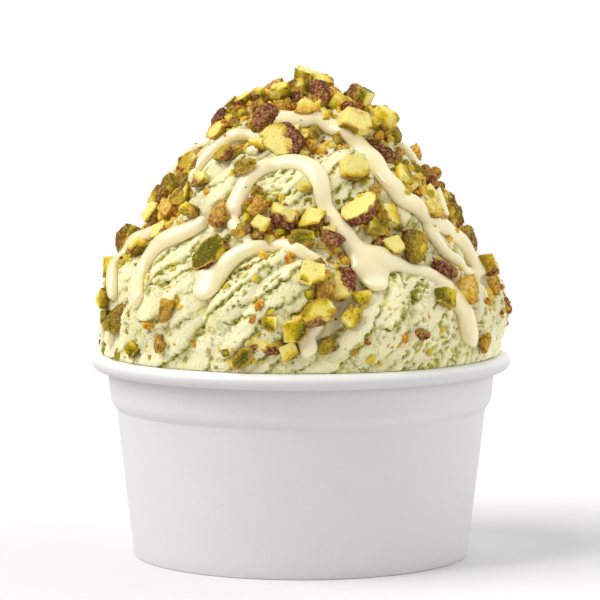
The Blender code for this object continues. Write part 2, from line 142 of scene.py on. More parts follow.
# Strands of sauce: stops of azimuth, rise and half width in millimetres
STRANDS = (
    ((-34, 63, 1.2), (-24, 64, 1.9), (-12, 64, 2.1), (0, 64, 2.1), (14, 65, 2.0), (30, 60, 2.1),
     (37, 56, 2.2), (39, 49, 2.2), (40, 43, 2.1), (44, 39, 2.2), (49, 36, 2.0), (58, 33, 1.9),
     (69, 30, 2.0), (74, 27, 2.2), (77, 24, 2.2), (82, 20, 1.7)),
    ((49, 34, 1.0), (53, 30, 1.5), (57, 27, 1.3), (66, 23, 1.1), (79, 19, 1.0)),
    ((94, 60, 1.0), (88, 55, 1.6), (82, 50, 1.7), (84, 44, 1.4), (80, 40, 1.5), (75, 35, 1.0)),
    ((-27, 36, 2.0), (-26, 41, 1.9), (-24, 46, 1.8), (-19, 50, 1.8), (-10, 51, 1.8), (0, 50, 1.8),
     (6, 47, 1.9), (8, 44, 1.8), (9, 40, 1.7), (12, 36, 1.8), (15, 33, 1.9), (19, 29, 2.3),
     (22, 26, 3.9), (23, 23, 3.5), (23, 20, 2.5), (23, 18, 2.5)),
    ((20, 28, 2.0), (27, 26, 2.6), (33, 25, 1.6), (40, 23, 1.5), (46, 21, 1.8), (52, 18, 2.1),
     (55, 14, 2.4), (56, 9, 2.5), (56, 3, 2.6), (55, -2, 2.6)),
    ((-26, 61, 1.4), (-43, 58, 1.5), (-56, 56, 1.6), (-61, 51, 1.5), (-61, 44, 1.2)),
    ((-27, 52, 1.3), (-29, 57, 1.3), (-30, 60, 1.2)),
    ((-38, 36, 1.4), (-46, 33, 1.9), (-51, 31, 1.9), (-56, 29, 1.9), (-60, 26, 1.8),
     (-61, 22, 1.8), (-57, 18, 1.9), (-50, 13, 1.9)),
    ((-62, 33, 1.2), (-70, 30, 1.5), (-78, 27, 1.5), (-77, 22, 1.5), (-72, 18, 1.5), (-69, 13, 1.4)),
    ((-72, 5, 1.0), (-71, 1, 1.7), (-69, -2, 1.8)),
    ((8, 25, 0.9), (0, 28, 1.4), (-5, 30, 1.4), (-13, 30, 1.3), (-20, 28, 1.7), (-25, 25, 2.2),
     (-29, 22, 2.9), (-30, 19, 3.0), (-30, 16, 2.7)),
    ((-36, 25, 1.5), (-32, 23, 1.9), (-29, 20, 2.2)),
    ((-27, 36, 1.5), (-22, 33, 1.2), (-17, 31, 1.1)),
    ((6, 14, 1.0), (4, 10, 1.6), (1, 7, 1.9), (2, 4, 1.9), (2, 0, 2.1), (3, -2, 2.2)),
    ((180, 70, 1.6), (164, 62, 1.9), (152, 54, 1.9), (146, 46, 1.8), (136, 40, 1.9),
     (122, 36, 1.8), (110, 33, 1.9), (102, 28, 2.2), (99, 22, 2.4), (98, 17, 2.0)),
    ((146, 45, 1.6), (150, 38, 1.8), (152, 32, 2.0), (156, 27, 3.0), (157, 22, 2.6), (157, 18, 2.2)),
    ((-170, 66, 1.7), (-158, 60, 1.8), (-148, 52, 1.9), (-150, 44, 1.8), (-160, 38, 1.7),
     (-170, 34, 1.8), (-176, 28, 2.2), (-178, 22, 2.6), (-178, 16, 2.6), (-177, 11, 2.2)),
    ((-148, 52, 1.5), (-136, 47, 1.7), (-124, 41, 1.7), (-116, 34, 1.8), (-112, 27, 2.0),
     (-111, 19, 2.2), (-111, 12, 2.2)),
    ((-160, 38, 1.4), (-146, 33, 1.5), (-138, 28, 1.7), (-134, 22, 2.2), (-133, 16, 2.4)),
    ((-112, 60, 1.4), (-104, 54, 1.6), (-96, 47, 1.5), (-93, 40, 1.3)),
    ((126, 16, 1.4), (128, 9, 2.0), (128, 2, 2.2), (128, -2, 2.2)),
)
SAUCE_SPREAD = 1.22  # how much wider than those widths the strands have run
STRAND_SIDES = 14
STRAND_THICKNESS, STRAND_THICKEST = 0.62, 1.5 * MM  # as a share of the half width, and at most
SAUCE_STEP = 0.5 * MM
SAUCE_VOXEL = 0.36 * MM


def srgb(red, green, blue):
    """A linear colour from screen values of 0 to 255."""
    values = [v / 255 for v in (red, green, blue)]
    return (*((v / 12.92 if v <= 0.04045 else ((v + 0.055) / 1.055) ** 2.4) for v in values), 1.0)


# ---------------------------------------------------------------- meshes and objects


def add_object(name, data):
    obj = bpy.data.objects.new(name, data)
    bpy.context.scene.collection.objects.link(obj)
    return obj


def add_piece(name, mesh, material, replaces=()):
    """Puts a finished mesh in the scene as a piece that rides on the part."""
    obj = add_object(name, mesh)
    mesh.name = name
    mesh.materials.clear()
    mesh.materials.append(material)
    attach(obj, ROOT)
    if replaces:
        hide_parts(*replaces)
    return obj


def mesh_from(bm, name):
    mesh = bpy.data.meshes.new(name)
    bm.to_mesh(mesh)
    bm.free()
    return mesh


def evaluated_mesh(mesh, *modifiers):
    """A plain mesh made from another one through modifiers, given as (type, settings).

    Settings are named as the modifier names them, or by the identifier of a node tree's input.
    """
    helper = add_object("helper", mesh)
    for kind, settings in modifiers:
        modifier = helper.modifiers.new(kind.lower(), kind)
        for key, value in settings.items():
            if hasattr(modifier, key):
                setattr(modifier, key, value)
            else:
                modifier[key] = value
    graph = bpy.context.evaluated_depsgraph_get()
    made = bpy.data.meshes.new_from_object(helper.evaluated_get(graph))
    bpy.data.objects.remove(helper, do_unlink=True)
    return made


def read(items, name, kind=float, width=1):
    """What each of a mesh's items has under a name: one value, or a row of several."""
    flat = np.empty(len(items) * width, kind)
    items.foreach_get(name, flat)
    return flat.reshape(-1, width) if width > 1 else flat


def read_points(mesh):
    return read(mesh.vertices, "co", width=3)


def write_points(mesh, points):
    mesh.vertices.foreach_set("co", np.ascontiguousarray(points, dtype=np.float32).ravel())
    mesh.update()


def write_attribute(mesh, name, values):
    layer = mesh.attributes.new(name, "FLOAT", "POINT")
    layer.data.foreach_set("value", np.ascontiguousarray(values, dtype=np.float32))


def noise_at(points, size, shift=0.0):
    """Smooth noise of about -1 to 1 at each point, with features of a given size."""
    scaled = points / size + shift
    return np.array([noise.noise(p) for p in scaled.tolist()])


def noise_vectors(points, size, shift=0.0):
    """Three different noises at each point, as a vector."""
    return np.stack([noise_at(points, size, shift + other) for other in (0.0, 17.3, 41.9)], axis=1)


def smooth_step(low, high, values):
    share = np.clip((values - low) / (high - low), 0, 1)
    return share * share * (3 - 2 * share)


def hump(low, peak, high, values):
    return smooth_step(low, peak, values) * (1 - smooth_step(peak, high, values))


# ---------------------------------------------------------------- the heap's surface


def outward(azimuth):
    angle = np.radians(azimuth)
    return np.stack([np.sin(angle), -np.cos(angle), np.zeros_like(angle)], axis=-1)


def plain_heap(azimuth, rise):
    angle = np.radians(rise)
    root = 2 / HEAP_POWER
    radius = HEAP_RADIUS * np.maximum(0, np.cos(angle)) ** root
    height = HEAP_BASE_HEIGHT + HEAP_RISE * np.sign(angle) * np.abs(np.sin(angle)) ** root
    points = outward(azimuth) * radius[..., None]
    points[..., 2] = height
    return points


def unit(vectors):
    return vectors / np.linalg.norm(vectors, axis=-1, keepdims=True)


def heap_frame(azimuth, rise):
    """Unit vectors of the plain heap at each point: level, upslope and out of the surface."""
    level = outward(azimuth + 90)
    upslope = unit(plain_heap(azimuth, rise + 0.5) - plain_heap(azimuth, rise - 0.5))
    return level, upslope, unit(np.cross(level, upslope))


def heap_place(azimuth, rise):
    """One point of the plain heap, and its level, upslope and outward unit vectors."""
    place = np.array([float(azimuth)]), np.array([float(rise)])
    return [values[0] for values in (plain_heap(*place), *heap_frame(*place))]


def lobe_lift(points):
    lift = np.zeros(len(points))
    for azimuth, rise, length, width, tilt, height in LOBES:
        middle, level, upslope, out = heap_place(azimuth, rise)
        away = points - middle
        turn = math.radians(tilt)
        along = away @ level * math.cos(turn) + away @ upslope * math.sin(turn)
        across = away @ upslope * math.cos(turn) - away @ level * math.sin(turn)
        share = ((along / length) ** 2 + (across / width) ** 2 + (away @ out / width) ** 2) / MM**2
        lift = np.maximum(lift, height * MM * np.maximum(0, 1 - share) ** 0.6)
    return lift


def broad_lift(points, azimuth, rise):
    """How far lobes and folds stand out from the plain heap, as on the solid."""
    wander = WANDER * noise_at(points, WANDER_SIZE)
    phase = np.radians(azimuth) * FOLDS_ROUND - points[:, 2] * FOLD_CLIMB
    fold = FOLD_DEPTH * (np.abs(np.cos(phase / 2 + wander * math.pi)) - 0.64)
    top_fade = np.minimum(1, np.cos(np.radians(rise)) * 2.5)
    foot_fade = np.clip((rise + 4) / 14, 0, 1)
    return (lobe_lift(points) + fold * top_fade - HEAP_SETBACK) * foot_fade


def slab_places():
    """Slabs all over the heap: azimuth, rise, half length, half width, height and turn of each."""
    draw = random.Random(12)
    rises, _ = even_rises(-8, 85, 0.5 * MM)
    slabs, taken = [], np.full((1, 3), 9.0)
    while len(slabs) < SLABS:
        tries = []
        while len(tries) < SLAB_TRIES:
            azimuth, rise = draw.uniform(-180, 180), draw.choice(rises)
            point = plain_heap(np.array([azimuth]), np.array([rise]))
            if draw.random() < np.hypot(*point[0, :2]) / HEAP_RADIUS:
                away = np.linalg.norm(taken - point, axis=1).min()
                tries.append((away, azimuth, rise, point))
        _, azimuth, rise, point = max(tries, key=lambda one: one[0])
        taken = np.concatenate([taken, point])
        turn = math.atan2(1, TWIST * math.hypot(*point[0, :2])) + math.radians(draw.gauss(0, SLAB_TURN))
        sizes = [draw.uniform(*span) for span in (SLAB_LENGTHS, SLAB_WIDTHS, SLAB_HEIGHTS)]
        slabs.append((azimuth, rise, *sizes, turn))
    return slabs


def torn_slabs(points):
    """Slabs with a lip on their lower side: their lift, and how far each point is in a tear."""
    ragged = points
    for depth, size, shift in RAGGED_EDGES:
        ragged = ragged + depth * noise_vectors(points, size, shift)
    lift, tear, gaps = np.zeros(len(points)), np.zeros(len(points)), []
    for azimuth, rise, length, width, height, turn in slab_places():
        middle, level, upslope, _ = heap_place(azimuth, rise)
        away = ragged - middle
        near = np.flatnonzero(np.abs(away).max(axis=1) < length + 2 * MM)
        x, y = away[near] @ level, away[near] @ upslope
        along = x * math.cos(turn) + y * math.sin(turn)
        across = x * math.sin(turn) - y * math.cos(turn)
        room = np.clip(1 - (along / length) ** 2, 0, 1)
        edge = width * np.sqrt(room)
        ends = smooth_step(0, 0.3, room)
        climb = np.clip((across + edge) / (2 * edge + 1e-6), 0, 1) ** 0.8
        beyond = across - edge
        body = height * ends * climb * (1 - smooth_step(-0.1 * MM, 0.3 * MM, beyond))
        lift[near] = np.maximum(lift[near], body)
        gap = smooth_step(-0.2 * MM, 0.2 * MM, beyond) * (1 - smooth_step(0.3 * MM, 1.4 * MM, beyond))
        gaps.append((near, gap * ends, height * ends))
    for near, gap, height in gaps:
        open_gap = gap * np.clip(1.15 - lift[near] / np.maximum(height, 0.1 * MM), 0, 1)
        tear[near] = np.maximum(tear[near], open_gap)
    return lift, tear


def torn_surface(points, azimuth, rise, along):
    """What the spatula left: slabs, tears below them, chains of pits and crumbly ground.

    Returns how far out they lift the surface, the slabs' part of that, and how hollow it is.
    """
    turned = np.radians(azimuth) - points[:, 2] * TWIST
    drag = np.stack([np.sin(turned), -np.cos(turned), along / DRAG_RADIUS / DRAG_STRETCH], axis=1)
    drag *= DRAG_RADIUS
    for axis, shift in ((0, 0.0), (1, 9.1)):
        drag[:, axis] += 1.3 * MM * noise_at(points, 8 * MM, shift)
    slabs, tear = torn_slabs(points)
    loose = 1 - smooth_step(0.05 * MM, 0.55 * MM, slabs)
    torn = np.maximum(tear, 0.7 * loose) + 0.2 * noise_at(points, 2.2 * MM, 5.2)
    torn = np.clip(torn, 0.04, 1)
    broad, narrow = CRUMBLE_SIZES
    crumble = 2.4 * np.abs(noise_at(points, broad, 2.9)) + 1.2 * np.abs(noise_at(points, narrow, 7.7))
    crumble = np.minimum(1.2, crumble)
    # chains of pits along the drag
    chain = 1 - smooth_step(0.05, 0.32, np.abs(noise_at(drag, CHAIN_SIZE, 0.6)))
    pitted = smooth_step(0.12, 0.35, noise_at(points, PITTED_SIZE, 2.2))
    for *place, reach in PITTED_PLACES:
        away = np.linalg.norm(points - heap_place(*place)[0], axis=1) / reach
        pitted = np.maximum(pitted, 1 - smooth_step(0.6, 1.0, away))
    chain *= pitted
    pits = chain * smooth_step(-0.08, 0.2, noise_at(points, PIT_SIZE, 6.1))
    lift = slabs - SLAB_SETBACK + UNDULATION_DEPTH * noise_at(drag, UNDULATION_SIZE, 1.1)
    lift += STREAK_DEPTH * noise_at(drag, STREAK_SIZE, 3.1) - TEAR_DEPTH * tear - PIT_DEPTH * pits
    lift += CRUMBLE_DEPTH * torn * (crumble - 0.8)
    lift += GRAIN_DEPTH * (0.35 + torn) * noise_at(points, GRAIN_SIZE, 1.9)
    fade = np.clip((rise + 8) / 2, 0, 1) * np.minimum(1, np.cos(np.radians(rise)) * 6)
    # the finish paints hollow places greener and darker; the darkening is painted shade
    hollow = 0.6 * tear + torn * (0.6 - 0.6 * crumble) + 0.65 * pits
    return lift * fade, slabs * fade, np.clip(hollow, 0, 1)


def heap_surface(azimuth, rise):
    """The heap's surface as on the solid, at each pair of azimuth and rise, and the way out."""
    azimuth, rise = np.asarray(azimuth, float), np.asarray(rise, float)
    points = plain_heap(azimuth, rise)
    out = heap_frame(azimuth, rise)[2]
    return points + out * broad_lift(points, azimuth, rise)[:, None], out


# ---------------------------------------------------------------- the cup


def wall_radius(height):
    if height <= BAND_FOOT_HEIGHT:
        return BASE_RADIUS + (BAND_FOOT_RADIUS - BASE_RADIUS) * height / BAND_FOOT_HEIGHT
    step_top = BAND_FOOT_HEIGHT + BAND_STEP_HEIGHT
    if height <= step_top:
        share = (height - BAND_FOOT_HEIGHT) / BAND_STEP_HEIGHT
        eased = math.sin(share * math.pi / 2) ** 0.8
        return BAND_FOOT_RADIUS + (BAND_LOW_RADIUS - BAND_FOOT_RADIUS) * eased
    share = (height - step_top) / (BAND_TOP_HEIGHT - step_top)
    return BAND_LOW_RADIUS + (BAND_TOP_RADIUS - BAND_LOW_RADIUS) * share


def roll_point(degrees, clearance=0.0):
    angle = math.radians(degrees)
    middle = (RIM_OUTER_RADIUS - ROLL_HALF_WIDTH, CUP_HEIGHT - ROLL_HALF_HEIGHT)
    return (
        middle[0] + (ROLL_HALF_WIDTH + clearance) * math.cos(angle),
        middle[1] + (ROLL_HALF_HEIGHT + clearance) * math.sin(angle),
    )


CUP_SIDES = 192
SEAM_PLACE = (-9.4, -8.8)  # where the lap begins and ends, in degrees from the back
SEAM_LAP = 0.3 * MM
PAPER_UNEVENNESS = 0.1 * MM
# Heights where shade is painted on the paper, under the rolled rim and at the band's foot, and
# where a painted highlight whitens the top of the rolled rim
RIM_SHADE = (41.2 * MM, 43.8 * MM, 46.2 * MM)
BAND_SHADE = (34.2 * MM, 35.0 * MM, 36.4 * MM)
RIM_PAINTED_HIGHLIGHT = (45.6 * MM, 46.9 * MM)


def cup_section():
    """The closed section of the cup, finely stepped where it curves."""
    floor_top = FLOOR_RECESS + PAPER
    skirt = BASE_RADIUS - SKIRT_THICKNESS
    edge = 0.35 * MM
    wall = [BAND_FOOT_HEIGHT * n / 12 for n in range(1, 12)]
    wall += [BAND_FOOT_HEIGHT - 0.4 * MM]
    wall += [BAND_FOOT_HEIGHT + BAND_STEP_HEIGHT * n / 14 for n in range(15)]
    step_top = BAND_FOOT_HEIGHT + BAND_STEP_HEIGHT
    wall += [step_top + (BAND_TOP_HEIGHT - step_top) * n / 5 for n in range(1, 6)]
    section = [(0.0, FLOOR_RECESS), (skirt - edge, FLOOR_RECESS), (skirt, FLOOR_RECESS - edge)]
    section += [(skirt, edge), (skirt + edge, 0.0), (BASE_RADIUS - edge, 0.0)]
    section += [(BASE_RADIUS - edge * 0.3, 0.1 * MM), (wall_radius(edge), edge)]
    section += [(wall_radius(z), z) for z in wall]
    section += [roll_point(degrees) for degrees in range(-150, 181, 12)]
    section += [(wall_radius(z) - PAPER, z) for z in reversed(wall)]
    section += [(wall_radius(floor_top) - PAPER, floor_top), (0.0, floor_top)]
    return section


def build_cup(material):
    bm = bmesh.new()
    corners = [bm.verts.new((0, radius, height)) for radius, height in cup_section()]
    edges = [bm.edges.new(pair) for pair in zip(corners, corners[1:])]
    bmesh.ops.spin(
        bm,
        geom=corners + edges,
        axis=(0, 0, 1),
        cent=(0, 0, 0),
        angle=2 * math.pi,
        steps=CUP_SIDES,
        use_merge=True,
    )
    bmesh.ops.remove_doubles(bm, verts=bm.verts, dist=1e-6)
    bmesh.ops.recalc_face_normals(bm, faces=bm.faces)
    mesh = mesh_from(bm, "paper_cup")
    points = read_points(mesh)
    # the lap of the side seam, at the back, and the slight unevenness of rolled paper
    azimuth = np.degrees(np.arctan2(points[:, 0], -points[:, 1]))
    radius = np.hypot(points[:, 0], points[:, 1])
    outer = radius > np.array([wall_radius(min(z, BAND_TOP_HEIGHT)) for z in points[:, 2]]) - 0.2 * MM
    outer &= points[:, 2] < BAND_TOP_HEIGHT
    behind = np.abs(azimuth) - 180
    lap = smooth_step(*SEAM_PLACE, behind) * (azimuth > 0) * outer * SEAM_LAP
    wobble = noise_at(points, 26 * MM) * PAPER_UNEVENNESS * (radius > 30 * MM)
    grow = (radius + lap + wobble) / np.maximum(radius, 1e-6)
    points[:, :2] *= grow[:, None]
    write_points(mesh, points)
    height = points[:, 2]
    # painted shade under the rolled rim and at the band's foot, and a painted highlight on the rim's top
    shade = np.maximum(hump(*RIM_SHADE, height), 0.3 * hump(*BAND_SHADE, height))
    write_attribute(mesh, "shade", shade)
    write_attribute(mesh, "rim", smooth_step(*RIM_PAINTED_HIGHLIGHT, height))
    mesh.shade_smooth()
    mesh.set_sharp_from_angle(angle=math.radians(50))
    return add_piece("paper_cup", mesh, material, ["cup"])


# ---------------------------------------------------------------- the gelato


def even_rises(first, last, step):
    """Rises that are evenly far apart along the heap's profile, and how far along each is."""
    rises = np.linspace(first, last, 2000)
    points = plain_heap(np.zeros_like(rises), rises)
    length = np.concatenate([[0], np.cumsum(np.linalg.norm(np.diff(points, axis=0), axis=1))])
    along = np.linspace(0, length[-1], round(length[-1] / step))
    return np.interp(along, length, rises), along


def spread_round(share):
    """Azimuths for shares of the way round the heap, closer together in front than behind."""
    turned = (share + 0.5) % 1 - 0.5
    return 360 * turned - np.degrees(FRONT_CROWDING * np.sin(2 * math.pi * turned))


def rings_below():
    """Rings of the gelato inside the cup, from its floor up, as number round, radius and height."""
    half, quarter, eighth = HEAP_SIDES // 2, HEAP_SIDES // 4, HEAP_SIDES // 8
    floor = FLOOR_RECESS + PAPER + GAP
    inner = PAPER + GAP
    corner = 2.5 * MM
    rings = [(eighth, wall_radius(floor) - inner - corner, floor)]
    rings += [(quarter, wall_radius(floor + corner) - inner, floor + corner)]
    step_top = BAND_FOOT_HEIGHT + BAND_STEP_HEIGHT
    rings += [(quarter, wall_radius(z) - inner, z) for z in (BAND_FOOT_HEIGHT, step_top)]
    rings += [(quarter, wall_radius(BAND_TOP_HEIGHT) - inner, BAND_TOP_HEIGHT)]
    rings += [(half, *roll_point(degrees, 0.05 * MM)) for degrees in (175, 160, 145, 128, 112)]
    return rings


def bridge(low, high):
    """Faces between two rings of points, where one may have twice as many as the other."""
    if len(low) == len(high):
        pairs = zip(low, np.roll(low, -1), np.roll(high, -1), high)
        return [tuple(int(n) for n in face) for face in pairs]
    fine, coarse = (low, high) if len(low) > len(high) else (high, low)
    faces = []
    for number, corner in enumerate(coarse):
        after = coarse[(number + 1) % len(coarse)]
        first, middle = fine[2 * number], fine[2 * number + 1]
        last = fine[(2 * number + 2) % len(fine)]
        faces += [(first, middle, corner), (middle, after, corner), (middle, last, after)]
    if fine is high:
        faces = [face[::-1] for face in faces]
    return [tuple(int(n) for n in face) for face in faces]


def build_gelato(material):
    rises, along = even_rises(FIRST_RISE, LAST_RISE, HEAP_STEP)
    radii = np.hypot(*plain_heap(np.zeros_like(rises), rises)[:, :2].T)
    counts, sides = [], HEAP_SIDES
    for radius in radii:
        closest = 2 * math.pi * radius * (1 - FRONT_CROWDING) / sides
        if closest < HEAP_STEP * 0.62 and sides > 10:
            sides //= 2
        counts.append(sides)
    azimuth = spread_round(np.concatenate([np.arange(n) / n for n in counts]))
    rise, far = np.repeat(rises, counts), np.repeat(along, counts)
    heap = plain_heap(azimuth, rise)
    _, upslope, out = heap_frame(azimuth, rise)
    broad = broad_lift(heap, azimuth, rise)
    under = beneath_sauce(heap + out * broad[:, None])
    fine, slabs, hollow = torn_surface(heap, azimuth, rise, far)
    fine = fine * (1 - 0.9 * under) - SAUCE_BED * under
    fine += RIM_LEAN * (1 - smooth_step(FIRST_RISE, -1.5, rise))
    heap = heap + out * (broad + fine)[:, None]
    heap -= upslope * (SLAB_OVERHANG * slabs * (1 - under))[:, None]
    rings, points = [], []
    for number, radius, height in rings_below():
        ring = outward(spread_round(np.arange(number) / number)) * radius
        ring[:, 2] = height
        rings.append(number)
        points.append(ring)
    below = sum(rings)
    points = np.concatenate([*points, heap])
    rings += counts
    starts = np.concatenate([[0], np.cumsum(rings)])
    rows = [np.arange(start, start + number) for start, number in zip(starts, rings)]
    foot, top = len(points), len(points) + 1
    ends = [points[rows[0]].mean(axis=0), points[rows[-1]].mean(axis=0)]
    points = np.concatenate([points, ends])
    faces = [face for low, high in zip(rows, rows[1:]) for face in bridge(low, high)]
    faces += [(int(a), foot, int(b)) for a, b in zip(rows[0], np.roll(rows[0], -1))]
    faces += [(int(a), int(b), top) for a, b in zip(rows[-1], np.roll(rows[-1], -1))]
    mesh = bpy.data.meshes.new("gelato_heap")
    mesh.from_pydata(points.tolist(), [], faces)
    write_attribute(mesh, "hollow", np.concatenate([np.full(below, 0.3), hollow, [0.3, 0.3]]))
    mesh.shade_smooth()
    return add_piece("gelato_heap", mesh, material, ["gelato"])


# ---------------------------------------------------------------- the sauce


def strand_path(stops):
    """A smooth run through a strand's stops.

    Returns its points, the ways out of the heap, half widths, the distance along it at each
    point, and its length.
    """
    knots = np.array([stops[0], *stops, stops[-1]], float)
    fine = []
    for before, start, end, after in zip(knots, knots[1:], knots[2:], knots[3:]):
        bend = 2 * before - 5 * start + 4 * end - after
        twist = 3 * start - 3 * end + after - before
        for share in np.linspace(0, 1, 24, endpoint=False):
            fine.append((2 * start + (end - before) * share + bend * share**2 + twist * share**3) / 2)
    fine = np.array([*fine, knots[-1]])
    fine[:, 2] *= SAUCE_SPREAD
    surface, out = heap_surface(fine[:, 0], fine[:, 1])
    length = np.concatenate([[0], np.cumsum(np.linalg.norm(np.diff(surface, axis=0), axis=1))])
    even = np.arange(0, length[-1], SAUCE_STEP)
    lay = [np.interp(even, length, column) for column in (*surface.T, *out.T, fine[:, 2])]
    lay = np.stack(lay, axis=1)
    for _ in range(6):  # the sauce bridges small dips
        lay[1:-1, :6] = (lay[:-2, :6] + 2 * lay[1:-1, :6] + lay[2:, :6]) / 4
    return lay[:, :3], unit(lay[:, 3:6]), lay[:, 6] * MM, even, length[-1]


def strand_tree():
    """A search tree of points along every strand, with the half width at each."""
    points, widths = [], []
    for stops in STRANDS:
        surface, _, half_width, _, _ = strand_path(stops)
        points += surface.tolist()
        widths += half_width.tolist()
    tree = KDTree(len(points))
    for number, point in enumerate(points):
        tree.insert(point, number)
    tree.balance()
    return tree, widths


def beneath_sauce(points, spare=0.5 * MM):
    """How far each point lies beneath the sauce, from 0 to 1, softly at the strands' sides."""
    tree, widths = strand_tree()
    under = np.zeros(len(points))
    for number, point in enumerate(points.tolist()):
        if point[2] > CUP_HEIGHT:
            _, nearest, distance = tree.find(point)
            under[number] = 1 - (distance - widths[nearest]) / spare
    return np.clip(under, 0, 1)


def strand_mesh(bm, stops):
    """One strand: a flattened round section carried along its path, closed at both ends."""
    points, out, half_width, along, length = strand_path(stops)
    tangent = unit(np.gradient(points, axis=0))
    side = unit(np.cross(tangent, out))
    rings = []
    for row, point in enumerate(points):
        wide = half_width[row]
        from_end = min(along[row], length - along[row])
        rounded = math.sqrt(max(0.02, 1 - max(0, 1 - from_end / wide) ** 2))
        wobble = 1 + 0.10 * noise.noise(Vector(point / (5 * MM)))
        wide *= rounded * wobble
        thick = min(STRAND_THICKNESS * wide, STRAND_THICKEST) + 0.15 * MM
        middle = point + out[row] * thick * 0.30
        ring = []
        for number in range(STRAND_SIDES):
            angle = 2 * math.pi * number / STRAND_SIDES
            where = middle + side[row] * wide * math.cos(angle) + out[row] * thick * math.sin(angle)
            ring.append(bm.verts.new(where))
        rings.append(ring)
    for low, high in zip(rings, rings[1:]):
        for number in range(STRAND_SIDES):
            after = (number + 1) % STRAND_SIDES
            bm.faces.new((low[number], low[after], high[after], high[number]))
    bm.faces.new(rings[0][::-1])
    bm.faces.new(rings[-1])


def build_sauce(material):
    bm = bmesh.new()
    for stops in STRANDS:
        strand_mesh(bm, stops)
    bmesh.ops.recalc_face_normals(bm, faces=bm.faces)
    poured = mesh_from(bm, "poured")
    merged = evaluated_mesh(
        poured,
        ("REMESH", {"mode": "VOXEL", "voxel_size": SAUCE_VOXEL, "use_smooth_shade": True}),
        ("SMOOTH", {"factor": 0.5, "iterations": 9}),
    )
    bpy.data.meshes.remove(poured)
    return add_piece("white_sauce", merged, material)


# ---------------------------------------------------------------- the pistachios

CUTS = {
    "half": (((0, 0, 1), 0.05), ((1, 0.1, 0.2), 0.8)),
    "stub": (((1, 0.1, 0.15), 0.25),),
    "wedge": (((0, 0.1, 1), 0.1), ((1, 0.5, 0), 0.3), ((-0.6, 1, 0.2), 0.25)),
    "block": (((0, 0, 1), 0.3), ((1, 0, 0.1), 0.5), ((-1, 0.1, 0.1), 0.45), ((0.1, 1, 0), 0.4)),
    "slice": (((1, 0.1, 0.05), 0.3), ((-1, 0.1, 0.1), 0.3)),
}
CUT_WOBBLE = 0.22

# Smaller chunks on the front: cut, azimuth, rise, length, width and thickness in millimetres,
# spin, roll and shade. Shades run from 0, dark purple skin, to 1, bright yellow flesh.
SMALL_CHUNKS = (
    ("block", -58, 71, 4.6, 4.0, 3.6, 20, 0, 0.8), ("wedge", 2, 68, 5.4, 4.6, 4.2, 40, 30, 0.75),
    ("half", -60, 57, 5.0, 4.2, 3.8, 60, 20, 0.85), ("stub", 73, 56, 4.4, 3.8, 3.6, 60, 180, 0.45),
    ("stub", 9, 60, 4.6, 3.6, 3.4, 70, 180, 0.5), ("half", -26, 48, 5.4, 4.4, 4.0, 40, 20, 0.55),
    ("half", -41, 51, 5.6, 4.4, 4.0, 30, 10, 0.7), ("block", -27, 55, 4.4, 3.8, 3.4, 10, 0, 0.65),
    ("stub", -25, 69, 4.6, 4.0, 3.6, 10, 180, 0.4), ("block", 40, 69, 4.8, 4.0, 3.8, 45, 0, 0.5),
    ("block", -62, 37, 4.6, 4.0, 3.8, 80, 20, 0.35), ("block", -46, 37, 5.0, 3.6, 3.4, -10, 0, 0.45),
    ("stub", -16, 38, 5.0, 4.4, 3.8, 70, 180, 0.4), ("block", -60, 32, 4.8, 4.0, 3.8, 40, 0, 0.75),
    ("half", -57, 40, 4.8, 3.8, 3.6, 20, 10, 0.65), ("block", -47, 44, 5.2, 3.8, 3.6, 15, 0, 0.85),
    ("stub", -39, 12, 5.8, 4.4, 3.8, 80, 150, 0.4), ("stub", -41, 2, 4.8, 3.6, 3.4, 80, 180, 0.35),
    ("block", -54, -3, 3.8, 3.4, 3.0, 40, 0, 0.5), ("half", -16, -2, 6.0, 4.4, 4.0, 55, 10, 0.6),
    ("wedge", -8, 10, 4.6, 4.0, 3.2, -30, 0, 0.75), ("block", -68, 27, 4.8, 4.2, 3.6, 50, 0, 0.5),
    ("block", -73, 13, 4.6, 3.8, 3.4, 80, 0, 0.7), ("block", 34, 36, 5.6, 4.2, 3.8, 85, 0, 0.7),
    ("block", 32, 29, 5.4, 4.6, 4.0, 20, 0, 0.85), ("stub", 80, 16, 4.4, 3.6, 3.2, 60, 180, 0.3),
    ("stub", 6, 18, 5.6, 4.6, 4.0, 78, 150, 0.3), ("half", 0, 31, 6.4, 4.4, 3.8, 8, 10, 0.8),
    ("block", 43, 15, 5.2, 4.6, 4.0, -20, 0, 0.55), ("stub", 62, -1, 5.2, 3.4, 3.0, 80, 180, 0.4),
    ("stub", 33, 6, 4.0, 3.0, 2.8, -30, 180, 0.15), ("block", 49, 45, 5.4, 4.2, 3.8, 80, 0, 0.75),
    ("block", 27, 33, 4.2, 3.6, 3.4, -20, 0, 0.75), ("stub", 7, 3, 4.8, 4.0, 3.6, 40, 180, 0.5),
    ("block", -3, 1, 4.6, 4.0, 3.6, 30, 0, 0.65), ("block", 18, 17, 4.0, 3.4, 3.0, 10, 0, 0.7),
    ("stub", 28, 30, 4.0, 3.2, 3.0, 20, 180, 0.1), ("block", -14, 34, 4.6, 4.0, 3.6, 60, 0, 0.75),
    ("half", -21, 33, 5.4, 3.8, 3.2, 20, 10, 0.5), ("block", 62, 40, 4.6, 4.0, 3.6, 30, 0, 0.8),
    ("stub", 56, 34, 4.4, 3.4, 3.2, 10, 180, 0.35), ("block", -72, 8, 4.0, 3.2, 3.0, 10, 0, 0.5),
    ("block", 14, 12, 4.6, 4.2, 3.6, 50, 0, 0.6), ("block", -6, 60, 4.0, 3.4, 3.2, 50, 0, 0.5),
    ("block", 52, 60, 5.0, 4.2, 3.8, 20, 0, 0.8), ("stub", 60, 51, 4.4, 3.8, 3.4, 20, 160, 0.6),
    ("block", 1, 43, 3.2, 2.7, 2.6, 35, 20, 0.72),
)
